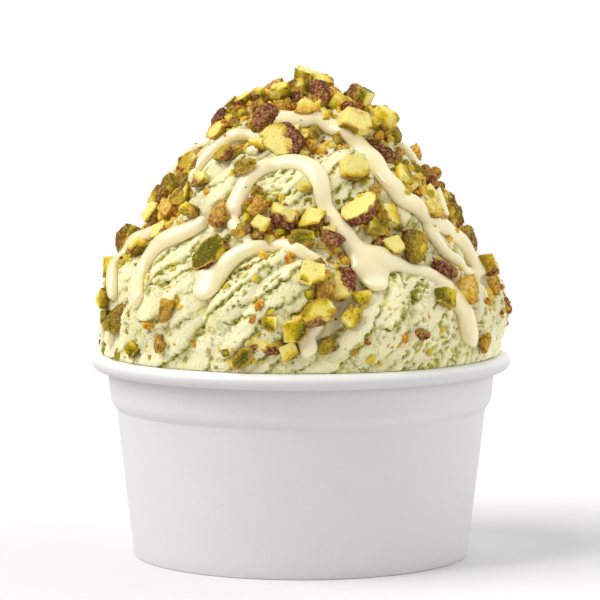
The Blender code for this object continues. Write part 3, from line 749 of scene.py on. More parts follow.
# Rows of more chunks: first and last azimuth, rise and number
CHUNK_ROWS = (
    (98, 262, 4, 9), (98, 262, 14, 11), (98, 262, 25, 12), (98, 262, 36, 13), (98, 262, 47, 11),
    (98, 262, 58, 9), (98, 262, 68, 7), (-95, 95, 70, 8), (-95, 95, 76, 9), (-95, 95, 82, 6),
)
ROLLS = (0, 20, 160, 180)
CHUNK_SINK = 0.3  # how much of its thickness lies in the gelato


def slice_off(bm, point, normal, cut_layer):
    """Cuts away what lies beyond a plane, closes it with a flat face and marks it as flesh."""
    cut = bmesh.ops.bisect_plane(
        bm,
        geom=[*bm.verts, *bm.edges, *bm.faces],
        dist=1e-7,
        plane_co=point,
        plane_no=normal,
        clear_outer=True,
    )
    rim = [item for item in cut["geom_cut"] if isinstance(item, bmesh.types.BMEdge)]
    if rim:
        for face in bmesh.ops.contextual_create(bm, geom=rim)["faces"]:
            face[cut_layer] = 1.0


def chopped_kernel(cut, size, draw):
    """A chopped kernel about its own middle: an ellipsoid with pointed ends, cut by planes."""
    bm = bmesh.new()
    lengthways = Matrix.Rotation(math.pi / 2, 4, "Y")
    bmesh.ops.create_uvsphere(bm, u_segments=7, v_segments=4, radius=1.0, matrix=lengthways)
    cut_layer = bm.faces.layers.float.new("flesh")
    for vert in bm.verts:
        taper = 1 - 0.25 * vert.co.x**2
        vert.co.y *= taper
        vert.co.z *= taper
    for normal, distance in CUTS[cut]:
        wobbled = Vector(normal) + Vector([draw.uniform(-CUT_WOBBLE, CUT_WOBBLE) for _ in range(3)])
        wobbled.normalize()
        slice_off(bm, wobbled * distance, wobbled, cut_layer)
    low = Vector([min(v.co[axis] for v in bm.verts) for axis in range(3)])
    high = Vector([max(v.co[axis] for v in bm.verts) for axis in range(3)])
    for vert in bm.verts:
        for axis in range(3):
            share = (vert.co[axis] - low[axis]) / (high[axis] - low[axis]) - 0.5
            vert.co[axis] = share * size[axis] * MM
    bmesh.ops.recalc_face_normals(bm, faces=bm.faces)
    return bm


def node_chunk(node):
    """A chunk's solid with its triangles joined up into flat faces, cut faces marked as flesh."""
    bm = bmesh.new()
    bm.from_mesh(bpy.data.objects[node].data)
    bmesh.ops.remove_doubles(bm, verts=bm.verts, dist=1e-6)
    limit = math.radians(1.5)
    bmesh.ops.dissolve_limit(bm, angle_limit=limit, verts=bm.verts, edges=bm.edges)
    cut_layer = bm.faces.layers.float.new("flesh")
    areas = sorted(face.calc_area() for face in bm.faces)
    usual = areas[len(areas) // 2]
    for face in bm.faces:
        is_cut = face.calc_area() > (0.9 if len(face.verts) > 4 else 2.2) * usual
        face[cut_layer] = 1.0 if is_cut else 0.0
    return bm


def neighbour_mean(values, edges, degree):
    total = np.bincount(edges[:, 0], weights=values[edges[:, 1]], minlength=len(values))
    total += np.bincount(edges[:, 1], weights=values[edges[:, 0]], minlength=len(values))
    return total / np.maximum(degree, 1)


def from_faces(mesh, name):
    """What a value of the faces comes to at each point, as a mean."""
    loops = read(mesh.loops, "vertex_index", int)
    totals = read(mesh.polygons, "loop_total", int)
    weights = np.repeat(read(mesh.attributes[name].data, "value"), totals)
    count = np.bincount(loops, minlength=len(mesh.vertices))
    return np.bincount(loops, weights=weights, minlength=len(count)) / np.maximum(count, 1)


def finish_chunk(bm, levels, look, draw):
    """Rounds a chunk's skin, keeps its cuts crisp, roughens it and marks skin and flesh."""
    ripe, bare, toast, way, reach = look
    corners = np.array([v.co for v in bm.verts])
    size = (corners.max(axis=0) - corners.min(axis=0)).max()
    crease = bm.edges.layers.float.new("crease_edge")
    cut_layer = bm.faces.layers.float["flesh"]
    tone_layer = bm.faces.layers.float.new("tone")
    for edge in bm.edges:
        edge[crease] = 1.0 if any(face[cut_layer] for face in edge.link_faces) else 0.0
    # the faces come in no fixed order, so they are drawn for by where they are
    for face in sorted(bm.faces, key=lambda f: [round(v / MM, 2) for v in f.calc_center_median()]):
        face[tone_layer] = draw.random() if face[cut_layer] else 0.5
    rough = mesh_from(bm, "rough")
    made = evaluated_mesh(rough, ("SUBSURF", {"levels": levels, "render_levels": levels}))
    bpy.data.meshes.remove(rough)
    points = read_points(made)
    low, high = points.min(axis=0), points.max(axis=0)
    old_low, old_high = corners.min(axis=0), corners.max(axis=0)
    grown = (points - low) / (high - low) * (old_high - old_low) + old_low
    points = points + (grown - points) * 0.8
    write_points(made, points)
    flesh, tone = from_faces(made, "flesh"), from_faces(made, "tone")
    edges = read(made.edges, "vertices", int, 2)
    degree = np.bincount(edges.ravel(), minlength=len(points))
    core = flesh
    for _ in range(2**levels):
        core = neighbour_mean(core, edges, degree)
    shifted = points + draw.random() * 1.2
    # towards one side the skin comes round, and everything gets darker and greener
    toward = (points - (old_low + old_high) / 2) @ np.array(way)
    toward = toward / np.abs(toward).max() + 0.4 * noise_at(shifted, 1.8 * MM, 8.8)
    flesh = flesh * (1 - smooth_step(reach - 0.06, reach + 0.06, toward))
    rim = flesh
    for _ in range(2 ** (levels - 2) + 1):
        rim = neighbour_mean(rim, edges, degree)
    rim = 1 - np.abs(2 * rim - 1)
    lift = noise_at(shifted, size * 0.42) * size * 0.03
    crumbly = noise_at(shifted, 1.1 * MM) * 0.2 + noise_at(shifted, 0.5 * MM, 3.3) * 0.18
    wrinkles = -np.abs(noise_at(shifted, 0.8 * MM, 3.1)) * 0.5 + noise_at(shifted, 0.45 * MM) * 0.15
    lift += np.where(flesh > 0.4, crumbly, wrinkles) * MM
    normals = read(made.vertex_normals, "vector", width=3)
    write_points(made, points + normals * lift[:, None])
    for name in ("flesh", "tone"):
        made.attributes.remove(made.attributes[name])
    write_attribute(made, "flesh", flesh)
    write_attribute(made, "ripe", ripe + 1.7 * (core - 0.88) + 1.3 * (tone - 0.5) - 0.3 * toward)
    write_attribute(made, "bare", bare - 0.45 * toward)
    write_attribute(made, "toast", np.full(len(points), toast))
    write_attribute(made, "rim", rim)
    made.shade_smooth()
    made.set_sharp_from_angle(angle=math.radians(40))
    return made


def joined(meshes, name):
    """One mesh from several, which are used up."""
    bm = bmesh.new()
    for mesh in meshes:
        bm.from_mesh(mesh)
        bpy.data.meshes.remove(mesh)
    return mesh_from(bm, name)


# How each kernel looks: its flesh from green, 0, to yellow, 1; its skin from purple, 0, to green,
# 1; how toasted it is; the side the skin comes round from, in degrees from the right as seen from
# the front; and how far out the flesh reaches that way, where 1 is all of it
LOOKS = (
    (0.6, 0.35, 0.8, 0, 0.6), (0.4, 0.6, 0.2, 150, 0.3), (0.95, 0.7, 0.1, -120, 1.3),
    (0.85, 0.3, 0.35, 40, 0.6), (0.45, 0.5, 0.1, 170, 0.1), (0.85, 0.15, 0.2, 110, -0.2),
    (0.85, 0.8, 0.2, -60, 1.3), (0.8, 0.8, 0.1, 180, 0.7), (0.7, 0.15, 0.3, 120, 0.0),
    (0.7, 0.1, 0.2, 20, -0.7), (0.8, 0.05, 0.15, 0, 0.25), (0.95, 0.7, 0.45, -60, 1.3),
    (0.75, 0.8, 0.2, -40, 1.3), (0.6, 0.0, 0.1, 45, -0.8), (0.95, 0.9, 0.1, -80, 0.7),
    (0.7, 0.3, 0.5, 180, 0.4), (0.4, 0.7, 0.2, -150, 0.0), (1.0, 0.6, 0.1, -30, 1.0),
    (0.45, 0.7, 0.3, 150, 0.2), (0.85, 0.6, 0.2, 180, 1.3), (0.6, 0.4, 0.75, -90, 0.4),
    (0.36, 0.15, 0.0, -45, 0.8), (0.9, 0.55, 0.1, 60, -0.1), (0.95, 0.02, 0.1, -120, 0.0),
    (0.85, 0.05, 0.25, -60, 0.2), (0.8, 0.7, 0.4, 20, 1.3), (1.0, 0.7, 0.0, -50, 0.5),
    (0.7, 0.0, 0.15, 30, -0.3), (1.0, 0.9, 0.15, -90, 1.3), (0.75, 0.1, 0.1, 40, 0.15),
    (0.95, 0.6, 0.1, -80, 0.3), (0.85, 0.05, 0.1, -45, 0.25), (0.5, 0.8, 0.1, 180, -0.3),
    (0.6, 0.0, 0.2, -150, -0.6), (0.8, 0.6, 0.75, -70, 0.9), (0.85, 0.6, 0.6, -90, 0.9),
    (0.7, 0.2, 0.5, -30, 0.2), (0.5, 0.75, 0.2, 0, 0.0), (0.5, 0.8, 0.3, 0, 0.0),
    (0.7, 0.3, 0.6, -80, 0.3), (0.6, 0.15, 0.4, 0, 0.0),
)
YELLOW, GREEN, ORANGE, PURPLE = (0.95, 0.8, 0.15), (0.45, 0.8, 0.15), (0.95, 0.7, 0.85), (0.6, 0.0, 0.3)


def look_for(shade, draw):
    """A look for a shade from 0, dark skin, to 1, bright flesh, with a little chance in it."""
    look = PURPLE if shade < 0.22 else ORANGE if shade < 0.45 else GREEN if shade < 0.62 else YELLOW
    look = [min(1, max(0, value + draw.uniform(-0.15, 0.15))) for value in look]
    way = Vector([draw.gauss(0, 1) for _ in range(3)]).normalized()
    return *look, way, draw.uniform(0.2, 1.3)


def build_kernels(material):
    nodes = sorted(name for name in frame["nodes"] if name.startswith("pistachio_"))
    draw = random.Random(5)
    middle = len(nodes) // 2
    for side, first, last in (("a", 0, middle), ("b", middle, len(nodes))):
        meshes = []
        for number in range(first, last):
            look = look_for(draw.random(), draw)
            if number < len(LOOKS):
                *shades, turn, reach = LOOKS[number]
                way = (math.cos(math.radians(turn)), 0, math.sin(math.radians(turn)))
                look = *shades, way, reach
            meshes.append(finish_chunk(node_chunk(nodes[number]), 3, look, draw))
        name = f"chopped_pistachios_{side}"
        add_piece(name, joined(meshes, name), material, nodes[first:last])


def place_chunk(mesh, azimuth, rise, spin, roll):
    """Turns a finished chunk and sets it in the heap's surface."""
    _, level, upslope, out = heap_place(azimuth, rise)
    turn = Matrix((level, upslope, out)).transposed().to_4x4()
    turn = turn @ Matrix.Rotation(math.radians(spin), 4, "Z") @ Matrix.Rotation(math.radians(roll), 4, "X")
    points = read_points(mesh) @ np.array(turn.to_3x3()).T
    depths = points @ out
    surface = heap_surface([azimuth], [rise])[0][0]
    place = surface - out * (depths.min() + CHUNK_SINK * (depths.max() - depths.min()))
    write_points(mesh, points + place)


def more_chunks(draw):
    """Chunks drawn among the crumbs in front, and in rows behind and round the crown."""
    kinds = sorted(CUTS)
    chunks = []
    for azimuth, rise, reach, amount in CRUMB_PATCHES:
        if abs(azimuth) < 90 and 12 < rise < 75 and amount > 0.6:
            for _ in range(round(reach / 3)):
                turn, far = draw.uniform(0, 2 * math.pi), draw.uniform(0.2, 0.8) * reach
                place = azimuth + 2.2 * far * math.cos(turn), rise + 1.3 * far * math.sin(turn)
                length = draw.uniform(2.8, 4.2)
                size = length, length * 0.8, length * 0.7
                kind, spin, roll = draw.choice(kinds), draw.uniform(0, 180), draw.choice(ROLLS)
                chunks.append((kind, *place, *size, spin, roll, draw.uniform(0.1, 1)))
    for first, last, rise, number in CHUNK_ROWS:
        for place in range(number):
            azimuth = first + (last - first) * (place + draw.uniform(0.1, 0.9)) / number
            length = draw.uniform(3.4, 5.6)
            size = length, length * draw.uniform(0.7, 0.9), length * draw.uniform(0.6, 0.8)
            spin, roll = draw.uniform(0, 180), draw.choice(ROLLS)
            climb = rise + draw.uniform(-5, 5)
            chunks.append((draw.choice(kinds), azimuth, climb, *size, spin, roll, draw.random()))
    return chunks


def build_small_chunks(material):
    """Smaller chopped pieces: listed one by one in front, and drawn round the rest."""
    draw = random.Random(21)
    chunks = [*SMALL_CHUNKS, *more_chunks(draw)]
    meshes = []
    for cut, azimuth, rise, length, width, thickness, spin, roll, shade in chunks:
        bm = chopped_kernel(cut, (length, width, thickness), draw)
        mesh = finish_chunk(bm, 2, look_for(shade, draw), draw)
        place_chunk(mesh, azimuth, rise, spin, roll)
        meshes.append(mesh)
    name = "small_pistachio_pieces"
    add_piece(name, joined(meshes, name), material)


# ---------------------------------------------------------------- crumbs

# Where crumbs lie thickly: azimuth, rise, reach in millimetres and thickness of cover
CRUMB_PATCHES = (
    (0, 78, 16, 1.0), (-55, 66, 12, 0.8), (58, 62, 13, 0.9), (14, 59, 9, 1.0), (6, 56, 6, 0.8),
    (-30, 56, 5, 0.8), (-66, 40, 10, 0.9), (-72, 31, 12, 0.9), (-58, 34, 9, 0.8), (-14, 36, 8, 0.9),
    (0, 33, 9, 0.9), (12, 30, 7, 0.9), (8, 22, 7, 0.9), (4, 13, 6, 0.7), (0, 4, 7, 0.8),
    (-16, -1, 6, 0.5), (28, 38, 7, 0.7), (34, 31, 6, 0.8), (60, 44, 11, 0.9), (82, 38, 12, 0.9),
    (56, 25, 7, 0.4), (80, 14, 9, 0.4), (115, 40, 13, 0.9), (140, 30, 12, 0.8), (165, 42, 13, 0.8),
    (-165, 26, 13, 0.8), (-150, 40, 12, 0.8), (-125, 30, 12, 0.8), (-100, 44, 12, 0.9),
    (-120, 60, 11, 0.8), (150, 64, 12, 0.9), (170, 10, 9, 0.4), (-140, 8, 9, 0.4), (118, 12, 9, 0.4),
)
BACKGROUND_COVER = 0.045
SAUCE_COVER = 0.16  # how thickly crumbs lie on the sauce, as a share of those on the gelato
CROWDED, SPARSE = 900000.0, 8500.0  # shapes for each square metre, before they are spaced out


def mark_cover(surface, share, spare):
    """Writes how thickly crumbs and bits cover each point of the gelato or the sauce."""
    mesh = surface.data
    points = read_points(mesh)
    cover = np.full(len(points), BACKGROUND_COVER)
    for azimuth, rise, reach, amount in CRUMB_PATCHES:
        middle = heap_surface([azimuth], [rise])[0][0]
        away = np.linalg.norm(points - middle, axis=1) / (reach * MM)
        cover = np.maximum(cover, amount * (1 - smooth_step(0.45, 1.0, away)))
    cover *= smooth_step(-0.55, -0.1, noise_at(points, 5 * MM, 6.6))
    under = beneath_sauce(points, spare) if spare else 0
    above = (points[:, 2] > CUP_HEIGHT + 1.2 * MM).astype(float)
    write_attribute(mesh, "crumb_cover", share * cover * (1 - under) * above)
    write_attribute(mesh, "bit_cover", (1 - under) * above)


def crumb_shapes(name, count, facets, seed):
    """A collection of small broken shapes, about one unit across, with so many facets round."""
    draw = random.Random(seed)
    shapes = bpy.data.collections.new(name)
    bpy.context.scene.collection.children.link(shapes)
    for number in range(count):
        bm = bmesh.new()
        bmesh.ops.create_uvsphere(bm, u_segments=facets, v_segments=facets - 2, radius=0.5)
        stretch = Vector((1, draw.uniform(0.65, 0.95), draw.uniform(0.5, 0.8)))
        shift = Vector([draw.uniform(-50, 50) for _ in range(3)])
        for vert in bm.verts:
            lump = 1 + 0.45 * noise.noise(vert.co * 2.6 + shift)
            vert.co = vert.co * lump * stretch
        for _ in range(3):
            way = Vector([draw.gauss(0, 1) for _ in range(3)]).normalized()
            for vert in bm.verts:
                over = vert.co.dot(way) - 0.30
                if over > 0:
                    vert.co -= way * over
        mesh = mesh_from(bm, f"{name}_{number}")
        mesh.shade_smooth()
        mesh.set_sharp_from_angle(angle=math.radians(38))
        shapes.objects.link(bpy.data.objects.new(f"{name}_{number}", mesh))
    return shapes


def feed(tree, socket, value):
    """Links a socket to another node's output, or sets it."""
    if isinstance(value, bpy.types.NodeSocket):
        tree.links.new(value, socket)
    else:
        socket.default_value = value


def add_node(tree, kind, inputs=None, **settings):
    """Adds a node with its settings, and feeds its inputs."""
    made = tree.nodes.new(kind)
    for key, value in settings.items():
        setattr(made, key, value)
    for key, value in (inputs or {}).items():
        feed(tree, made.inputs[key], value)
    return made


SCATTER_INPUTS = {
    "Shapes": "Collection",
    "Cover name": "String",
    "Spacing": "Float",
    "Number per square metre": "Float",
    "Smallest": "Float",
    "Largest": "Float",
    "Sink": "Float",
    "Seed": "Int",
    "Finish": "Material",
}


def scatter_tree(name):
    """Geometry Nodes that scatter small shapes over a surface, more where a cover is thick."""
    tree = bpy.data.node_groups.new(name, "GeometryNodeTree")
    face = tree.interface
    face.new_socket("Geometry", in_out="INPUT", socket_type="NodeSocketGeometry")
    sockets = {}
    for label, kind in SCATTER_INPUTS.items():
        made = face.new_socket(label, in_out="INPUT", socket_type="NodeSocket" + kind)
        sockets[label] = made.identifier
    face.new_socket("Geometry", in_out="OUTPUT", socket_type="NodeSocketGeometry")

    def node(kind, inputs=None, **settings):
        return add_node(tree, kind, inputs, **settings).outputs

    def chance(shift):
        """A number from 0 to 1 for each shape, other than one with another shift of the seed."""
        seed = node("ShaderNodeMath", {0: given["Seed"], 1: shift}, operation="ADD")[0]
        return node("FunctionNodeRandomValue", {"Seed": seed}, data_type="FLOAT")["Value"]

    given = node("NodeGroupInput")
    cover = {"Name": given["Cover name"]}
    cover = node("GeometryNodeInputNamedAttribute", cover, data_type="FLOAT")["Attribute"]
    laid = {
        "Mesh": given["Geometry"],
        "Distance Min": given["Spacing"],
        "Density Max": given["Number per square metre"],
        "Density Factor": cover,
        "Seed": given["Seed"],
    }
    spread = node("GeometryNodeDistributePointsOnFaces", laid, distribute_method="POISSON")
    # the way in at each point is kept from before the shapes are turned
    inward = node("ShaderNodeVectorMath", {0: spread["Normal"], "Scale": given["Sink"]}, operation="SCALE")
    kept = {"Geometry": spread["Points"], "Name": "inward", "Value": inward[0]}
    kept = node("GeometryNodeStoreNamedAttribute", kept, data_type="FLOAT_VECTOR", domain="POINT")
    turn = {"Max": (0.9, 0.9, 2 * math.pi), "Seed": given["Seed"]}
    turn = node("FunctionNodeRandomValue", turn, data_type="FLOAT_VECTOR")["Value"]
    turn = {"Rotation": spread["Rotation"], "Rotate By": turn}
    skewed = node("ShaderNodeMath", {0: chance(17), 1: 1.5}, operation="POWER")[0]
    size = {"Value": skewed, "To Min": given["Smallest"], "To Max": given["Largest"]}
    shapes = {"Collection": given["Shapes"], "Separate Children": True, "Reset Children": True}
    placed = {
        "Points": kept["Geometry"],
        "Instance": node("GeometryNodeCollectionInfo", shapes)["Instances"],
        "Pick Instance": True,
        "Rotation": node("FunctionNodeRotateRotation", turn, rotation_space="LOCAL")["Rotation"],
        "Scale": node("ShaderNodeMapRange", size)["Result"],
    }
    placed = node("GeometryNodeInstanceOnPoints", placed)["Instances"]
    tint = {"Geometry": placed, "Name": "shade", "Value": chance(31)}
    tint = node("GeometryNodeStoreNamedAttribute", tint, data_type="FLOAT", domain="INSTANCE")
    inward = {"Name": "inward"}
    inward = node("GeometryNodeInputNamedAttribute", inward, data_type="FLOAT_VECTOR")["Attribute"]
    sunk = {"Instances": tint["Geometry"], "Translation": inward, "Local Space": False}
    sunk = node("GeometryNodeTranslateInstances", sunk)["Instances"]
    solid = node("GeometryNodeRealizeInstances", {"Geometry": sunk})["Geometry"]
    finish = {"Geometry": solid, "Material": given["Finish"]}
    node("NodeGroupOutput", {"Geometry": node("GeometryNodeSetMaterial", finish)["Geometry"]})
    return tree, sockets


def build_crumbs(gelato, sauce, crumb, bit):
    """Scatters crumbs and bits over the gelato and the sauce, with the given finishes."""
    mark_cover(gelato, 1.0, 0.8 * MM)
    mark_cover(sauce, SAUCE_COVER, 0)
    tree, sockets = scatter_tree("scatter over gelato")
    crumbs = crumb_shapes("crumb_shapes", 7, 7, 3)
    grains = crumb_shapes("grain_shapes", 5, 6, 8)
    for name, surface, *values in (
        ("pistachio_crumbs", gelato, crumbs, "crumb_cover", 1.35, CROWDED, 1.5, 3.8, 0.0, 4, crumb),
        ("fine_pistachio_crumbs", gelato, grains, "crumb_cover", 0.8, CROWDED, 0.6, 1.5, 0.0, 9, crumb),
        ("nut_bits_in_gelato", gelato, crumbs, "bit_cover", 5.0, SPARSE, 0.8, 2.8, -0.35, 14, bit),
        ("crumbs_on_sauce", sauce, crumbs, "crumb_cover", 1.6, CROWDED, 0.6, 2.2, 0.0, 23, crumb),
    ):
        values = dict(zip(SCATTER_INPUTS, values))
        for label in ("Spacing", "Smallest", "Largest", "Sink"):
            values[label] *= MM
        inputs = {sockets[label]: value for label, value in values.items()}
        mesh = evaluated_mesh(surface.data, ("NODES", {"node_group": tree, **inputs}))
        add_piece(name, mesh, values["Finish"])
    for shapes in (crumbs, grains):
        for obj in list(shapes.objects):
            bpy.data.objects.remove(obj, do_unlink=True)
        bpy.data.collections.remove(shapes)


# ---------------------------------------------------------------- finishes


class Recipe:
    """A material being made: its shader, and short ways to add and feed nodes."""

    def __init__(self, name, shader=None):
        self.material = bpy.data.materials.new(name)
        self.material.use_nodes = True
        self.tree = self.material.node_tree
        self.shader = self.tree.nodes["Principled BSDF"]
        self.place = self.node("TexCoord").outputs["Object"]
        for label, value in (shader or {}).items():
            self.shader.inputs[label].default_value = value

    def node(self, kind, inputs=None, **settings):
        return add_node(self.tree, "ShaderNode" + kind, inputs, **settings)

    def noise(self, size, detail=3.0, roughness=0.55):
        """Noise with features of about a given size, from 0 to 1."""
        inputs = {"Vector": self.place, "Scale": 1 / size, "Detail": detail, "Roughness": roughness}
        return self.node("TexNoise", inputs).outputs["Fac"]

    def cells(self, size):
        inputs = {"Vector": self.place, "Scale": 1 / size}
        return self.node("TexVoronoi", inputs).outputs["Distance"]

    def attribute(self, name):
        return self.node("Attribute", attribute_name=name).outputs["Fac"]

    def ramp(self, value, *stops):
        """Colours or greys along a value, as (place, colour) pairs."""
        made = self.node("ValToRGB", {"Fac": value})
        band = made.color_ramp
        while len(band.elements) < len(stops):
            band.elements.new(0.5)
        for element, (place, colour) in zip(band.elements, stops):
            element.position = place
            element.color = colour if isinstance(colour, tuple) else (colour, colour, colour, 1)
        return made.outputs["Color"]

    def mix(self, share, first, second):
        inputs = {0: share, 6: first, 7: second}
        return self.node("Mix", inputs, data_type="RGBA", clamp_factor=True).outputs[2]

    def sum(self, operation, first, second):
        return self.node("Math", {0: first, 1: second}, operation=operation).outputs[0]

    def swayed(self, value, noise, amount):
        """A value moved down or up by some noise of 0 to 1."""
        swing = self.sum("MULTIPLY", self.sum("SUBTRACT", noise, 0.5), amount)
        return self.sum("ADD", value, swing)

    def bump(self, height, depth, normal=None):
        inputs = {"Height": height, "Distance": depth, "Strength": 1.0}
        if normal:
            inputs["Normal"] = normal
        return self.node("Bump", inputs).outputs["Normal"]

    def finish(self, colour, normal=None, roughness=None):
        """Feeds the shader and gives back the material."""
        for label, value in (("Base Color", colour), ("Normal", normal), ("Roughness", roughness)):
            if value:
                feed(self.tree, self.shader.inputs[label], value)
        return self.material


def paper_finish():
    made = Recipe("white_cup_paper", {"Specular IOR Level": 0.4})
    fibres = made.noise(0.5 * MM, detail=4)
    clouds = made.noise(14 * MM, detail=2)
    colour = made.mix(clouds, srgb(221, 220, 219), srgb(225, 224, 223))
    colour = made.mix(made.ramp(fibres, (0.35, 0.0), (0.7, 0.3)), colour, srgb(214, 213, 211))
    # painted highlight: the top of the rolled rim is painted whiter, as if lit from above
    colour = made.mix(made.attribute("rim"), colour, srgb(247, 247, 246))
    # painted shade under the rolled rim and at the band's foot
    colour = made.mix(made.sum("MULTIPLY", made.attribute("shade"), 0.5), colour, srgb(196, 194, 192))
    gloss = made.ramp(clouds, (0.3, 0.42), (0.7, 0.5))
    normal = made.bump(fibres, 0.02 * MM)
    normal = made.bump(made.noise(3 * MM, detail=2), 0.04 * MM, normal)
    return made.finish(colour, normal, gloss)


def gelato_finish():
    shader = {
        "Subsurface Weight": 0.55,
        "Subsurface Radius": (1.0, 0.9, 0.45),
        "Subsurface Scale": 1.3 * MM,
        "Specular IOR Level": 0.25,
    }
    made = Recipe("pistachio_gelato", shader)
    hollow = made.attribute("hollow")
    patches = made.noise(9 * MM, detail=3)
    grain = made.noise(0.8 * MM, detail=5, roughness=0.6)
    # greener where the gelato is torn and pitted, and darker there as painted shade
    colour = made.ramp(
        made.swayed(hollow, grain, 0.55),
        (0.00, srgb(246, 239, 198)),
        (0.20, srgb(241, 235, 183)),
        (0.40, srgb(230, 223, 140)),
        (0.62, srgb(212, 206, 96)),
        (0.90, srgb(182, 176, 50)),
    )
    colour = made.mix(made.ramp(patches, (0.45, 0.0), (0.65, 0.4)), colour, srgb(237, 231, 168))
    specks = made.ramp(made.noise(0.5 * MM, detail=2), (0.68, 0.0), (0.76, 0.4))
    colour = made.mix(specks, colour, srgb(176, 172, 66))
    rough = made.sum("MULTIPLY", grain, made.sum("ADD", made.sum("MULTIPLY", hollow, 0.8), 0.2))
    normal = made.bump(rough, 0.8 * MM)
    granules = made.sum("MULTIPLY", made.cells(0.62 * MM), made.sum("ADD", hollow, 0.4))
    normal = made.bump(granules, 0.45 * MM, normal)
    gloss = made.ramp(hollow, (0.1, 0.38), (0.6, 0.65))
    return made.finish(colour, normal, gloss)


def sauce_finish():
    shader = {
        "Subsurface Weight": 0.35,
        "Subsurface Radius": (1.0, 0.8, 0.45),
        "Subsurface Scale": 1.6 * MM,
        "Coat Weight": 0.5,
        "Coat Roughness": 0.06,
    }
    made = Recipe("white_sauce", shader)
    streaks = made.noise(6 * MM, detail=2)
    colour = made.ramp(streaks, (0.3, srgb(253, 235, 187)), (0.7, srgb(255, 240, 198)))
    normal = made.bump(made.noise(2.5 * MM, detail=1), 0.05 * MM)
    gloss = made.ramp(made.noise(3 * MM), (0.3, 0.16), (0.7, 0.26))
    return made.finish(colour, normal, gloss)


def nut_finish(name):
    """Flesh that is yellow inside and green at its edge, and skin from green to purple brown."""
    made = Recipe(name, {"Specular IOR Level": 0.1})
    names = ("flesh", "ripe", "bare", "toast", "rim")
    flesh, ripe, bare, toast, rim = (made.attribute(name) for name in names)
    fine = made.noise(0.7 * MM, detail=4, roughness=0.6)
    broad = made.noise(2.2 * MM, detail=3)
    flesh_colour = made.ramp(
        made.swayed(made.swayed(ripe, broad, 0.7), fine, 0.6),
        (0.05, srgb(96, 90, 3)),
        (0.30, srgb(150, 139, 7)),
        (0.55, srgb(208, 179, 18)),
        (0.78, srgb(243, 212, 64)),
        (1.00, srgb(253, 238, 140)),
    )
    skin_colour = made.ramp(
        made.swayed(bare, broad, 1.7),
        (0.05, srgb(104, 46, 36)),
        (0.28, srgb(150, 86, 54)),
        (0.42, srgb(124, 92, 8)),
        (0.62, srgb(112, 100, 3)),
        (1.00, srgb(172, 150, 14)),
    )
    crackle = made.ramp(fine, (0.48, 0.0), (0.64, 0.75))
    skin_colour = made.mix(crackle, skin_colour, srgb(206, 158, 96))
    edge = made.ramp(made.swayed(flesh, fine, 0.9), (0.42, 0.0), (0.54, 1.0))
    colour = made.mix(edge, skin_colour, flesh_colour)
    # a toasted tan along the cut edges, and over the whole where the piece is toasted
    rim = made.ramp(made.swayed(rim, fine, 0.8), (0.45, 0.0), (0.85, 0.75))
    colour = made.mix(rim, colour, srgb(220, 172, 66))
    patches = made.ramp(made.swayed(toast, broad, 1.6), (0.45, 0.0), (0.9, 0.85))
    toasted = made.ramp(fine, (0.35, srgb(188, 114, 22)), (0.60, srgb(242, 192, 86)))
    colour = made.mix(patches, colour, toasted)
    # brown pits in the low spots of the bump, darkened partly as painted shade
    pits = made.ramp(fine, (0.28, 0.8), (0.38, 0.0))
    colour = made.mix(pits, colour, srgb(92, 62, 8))
    dust = made.noise(0.4 * MM, detail=2)
    colour = made.mix(made.ramp(dust, (0.6, 0.0), (0.72, 0.55)), colour, srgb(250, 232, 150))
    normal = made.bump(fine, 0.45 * MM)
    normal = made.bump(dust, 0.14 * MM, normal)
    gloss = made.ramp(fine, (0.3, 0.55), (0.7, 0.3))
    return made.finish(colour, normal, gloss)


CRUMB_COLOURS = (
    (0.02, srgb(140, 80, 26)),
    (0.10, srgb(196, 124, 26)),
    (0.25, srgb(228, 178, 52)),
    (0.46, srgb(246, 213, 84)),
    (0.74, srgb(214, 194, 48)),
    (0.97, srgb(134, 124, 8)),
)
BIT_COLOURS = (
    (0.10, srgb(94, 50, 26)),
    (0.35, srgb(152, 90, 26)),
    (0.65, srgb(206, 146, 48)),
    (0.90, srgb(140, 124, 24)),
)


def crumb_finish(name, *stops):
    """A few colours in each crumb from a run of colours, and a toasted, pitted surface."""
    made = Recipe(name, {"Specular IOR Level": 0.15})
    fine = made.noise(0.6 * MM, detail=3)
    shade = made.swayed(made.attribute("shade"), made.noise(1.5 * MM, detail=1), 0.7)
    colour = made.ramp(made.swayed(shade, fine, 0.45), *stops)
    colour = made.mix(made.ramp(fine, (0.58, 0.0), (0.72, 0.6)), colour, srgb(244, 216, 112))
    # brown pits in the low spots of the bump, darkened partly as painted shade
    colour = made.mix(made.ramp(fine, (0.28, 0.4), (0.38, 0.0)), colour, srgb(128, 80, 12))
    normal = made.bump(fine, 0.35 * MM)
    return made.finish(colour, normal, made.ramp(fine, (0.3, 0.55), (0.7, 0.32)))


# ---------------------------------------------------------------- stage, light and camera

CAMERA_PLACE = (0, -0.80, 0.134)
CAMERA_DIP = 5.32  # degrees below level
CAMERA_LENS = {"sensor_width": 36.0, "lens": 206.0, "shift_x": -0.0017, "clip_end": 60}
# Lamps: name, azimuth, climb, strength, and softness in degrees
LAMPS = (("key", -74, 47, 2.55, 52), ("glint", -48, 52, 0.3, 9))
LAMP_COLOUR = (1.0, 0.985, 0.965)
# The tent: the way its brighter side lies, and how bright it is from the dim side to that one
TENT_LEAN = (1.12, 0.61, 0.10)
TENT_GLOW = {"From Min": -0.75, "From Max": 0.9, "To Min": 0.09, "To Max": 1.18}


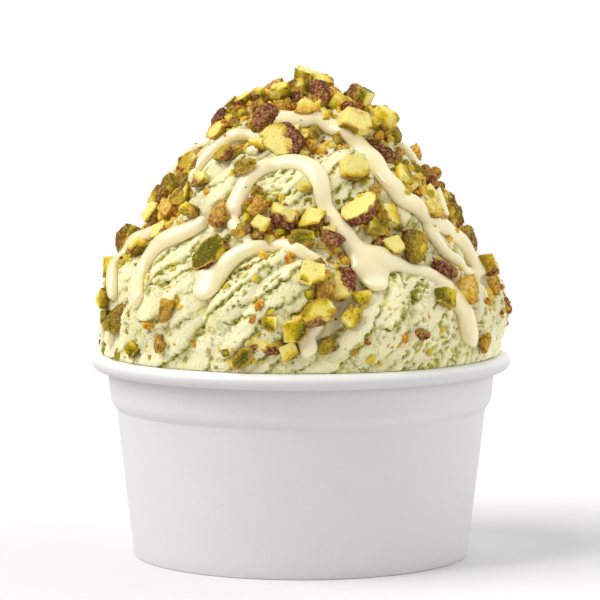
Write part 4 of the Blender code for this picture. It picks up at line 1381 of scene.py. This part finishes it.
def build_stage():
    bm = bmesh.new()
    bmesh.ops.create_circle(bm, cap_ends=True, segments=96, radius=30)
    floor = add_object("floor", mesh_from(bm, "floor"))
    made = Recipe("pale_floor", {"Specular IOR Level": 0.2})
    colour = made.mix(made.noise(0.4), srgb(230, 230, 230), srgb(232, 232, 232))
    floor.data.materials.append(made.finish(colour, None, 0.7))


def build_light():
    """A light tent, brightest towards one side, a soft key light and a weak, crisper one."""
    world = bpy.data.worlds.new("light tent")
    bpy.context.scene.world = world
    world.use_nodes = True
    tree = world.node_tree
    way = add_node(tree, "ShaderNodeTexCoord").outputs["Generated"]
    lean = add_node(tree, "ShaderNodeVectorMath", {0: way, 1: TENT_LEAN}, operation="DOT_PRODUCT")
    inputs = {"Value": lean.outputs["Value"], **TENT_GLOW}
    glow = add_node(tree, "ShaderNodeMapRange", inputs, interpolation_type="SMOOTHSTEP")
    sky = tree.nodes["Background"].inputs
    feed(tree, sky["Strength"], glow.outputs["Result"])
    sky["Color"].default_value = (1, 1, 1, 1)
    for name, azimuth, climb, strength, softness in LAMPS:
        light = bpy.data.lights.new(name, "SUN")
        light.energy = strength
        light.angle = math.radians(softness)
        light.color = LAMP_COLOUR
        obj = add_object(name, light)
        turn, lift = math.radians(azimuth), math.radians(climb)
        back = (math.sin(turn) * math.cos(lift), -math.cos(turn) * math.cos(lift), math.sin(lift))
        obj.location = back
        obj.rotation_mode = "QUATERNION"
        obj.rotation_quaternion = (-Vector(back)).to_track_quat("-Z", "Y")


def build_camera():
    camera = bpy.data.cameras.new("camera")
    for key, value in CAMERA_LENS.items():
        setattr(camera, key, value)
    obj = add_object("camera", camera)
    obj.location = CAMERA_PLACE
    obj.rotation_euler = (math.radians(90 - CAMERA_DIP), 0, 0)
    bpy.context.scene.camera = obj
    bpy.context.scene.view_settings.view_transform = "Standard"


build_camera()
build_stage()
build_light()
kernels = nut_finish("chopped_pistachio")
build_cup(paper_finish())
heap = build_gelato(gelato_finish())
sauce = build_sauce(sauce_finish())
build_kernels(kernels)
build_small_chunks(kernels)
build_crumbs(
    heap,
    sauce,
    crumb_finish("pistachio_crumbs", *CRUMB_COLOURS),
    crumb_finish("toasted_nut_bits", *BIT_COLOURS),
)
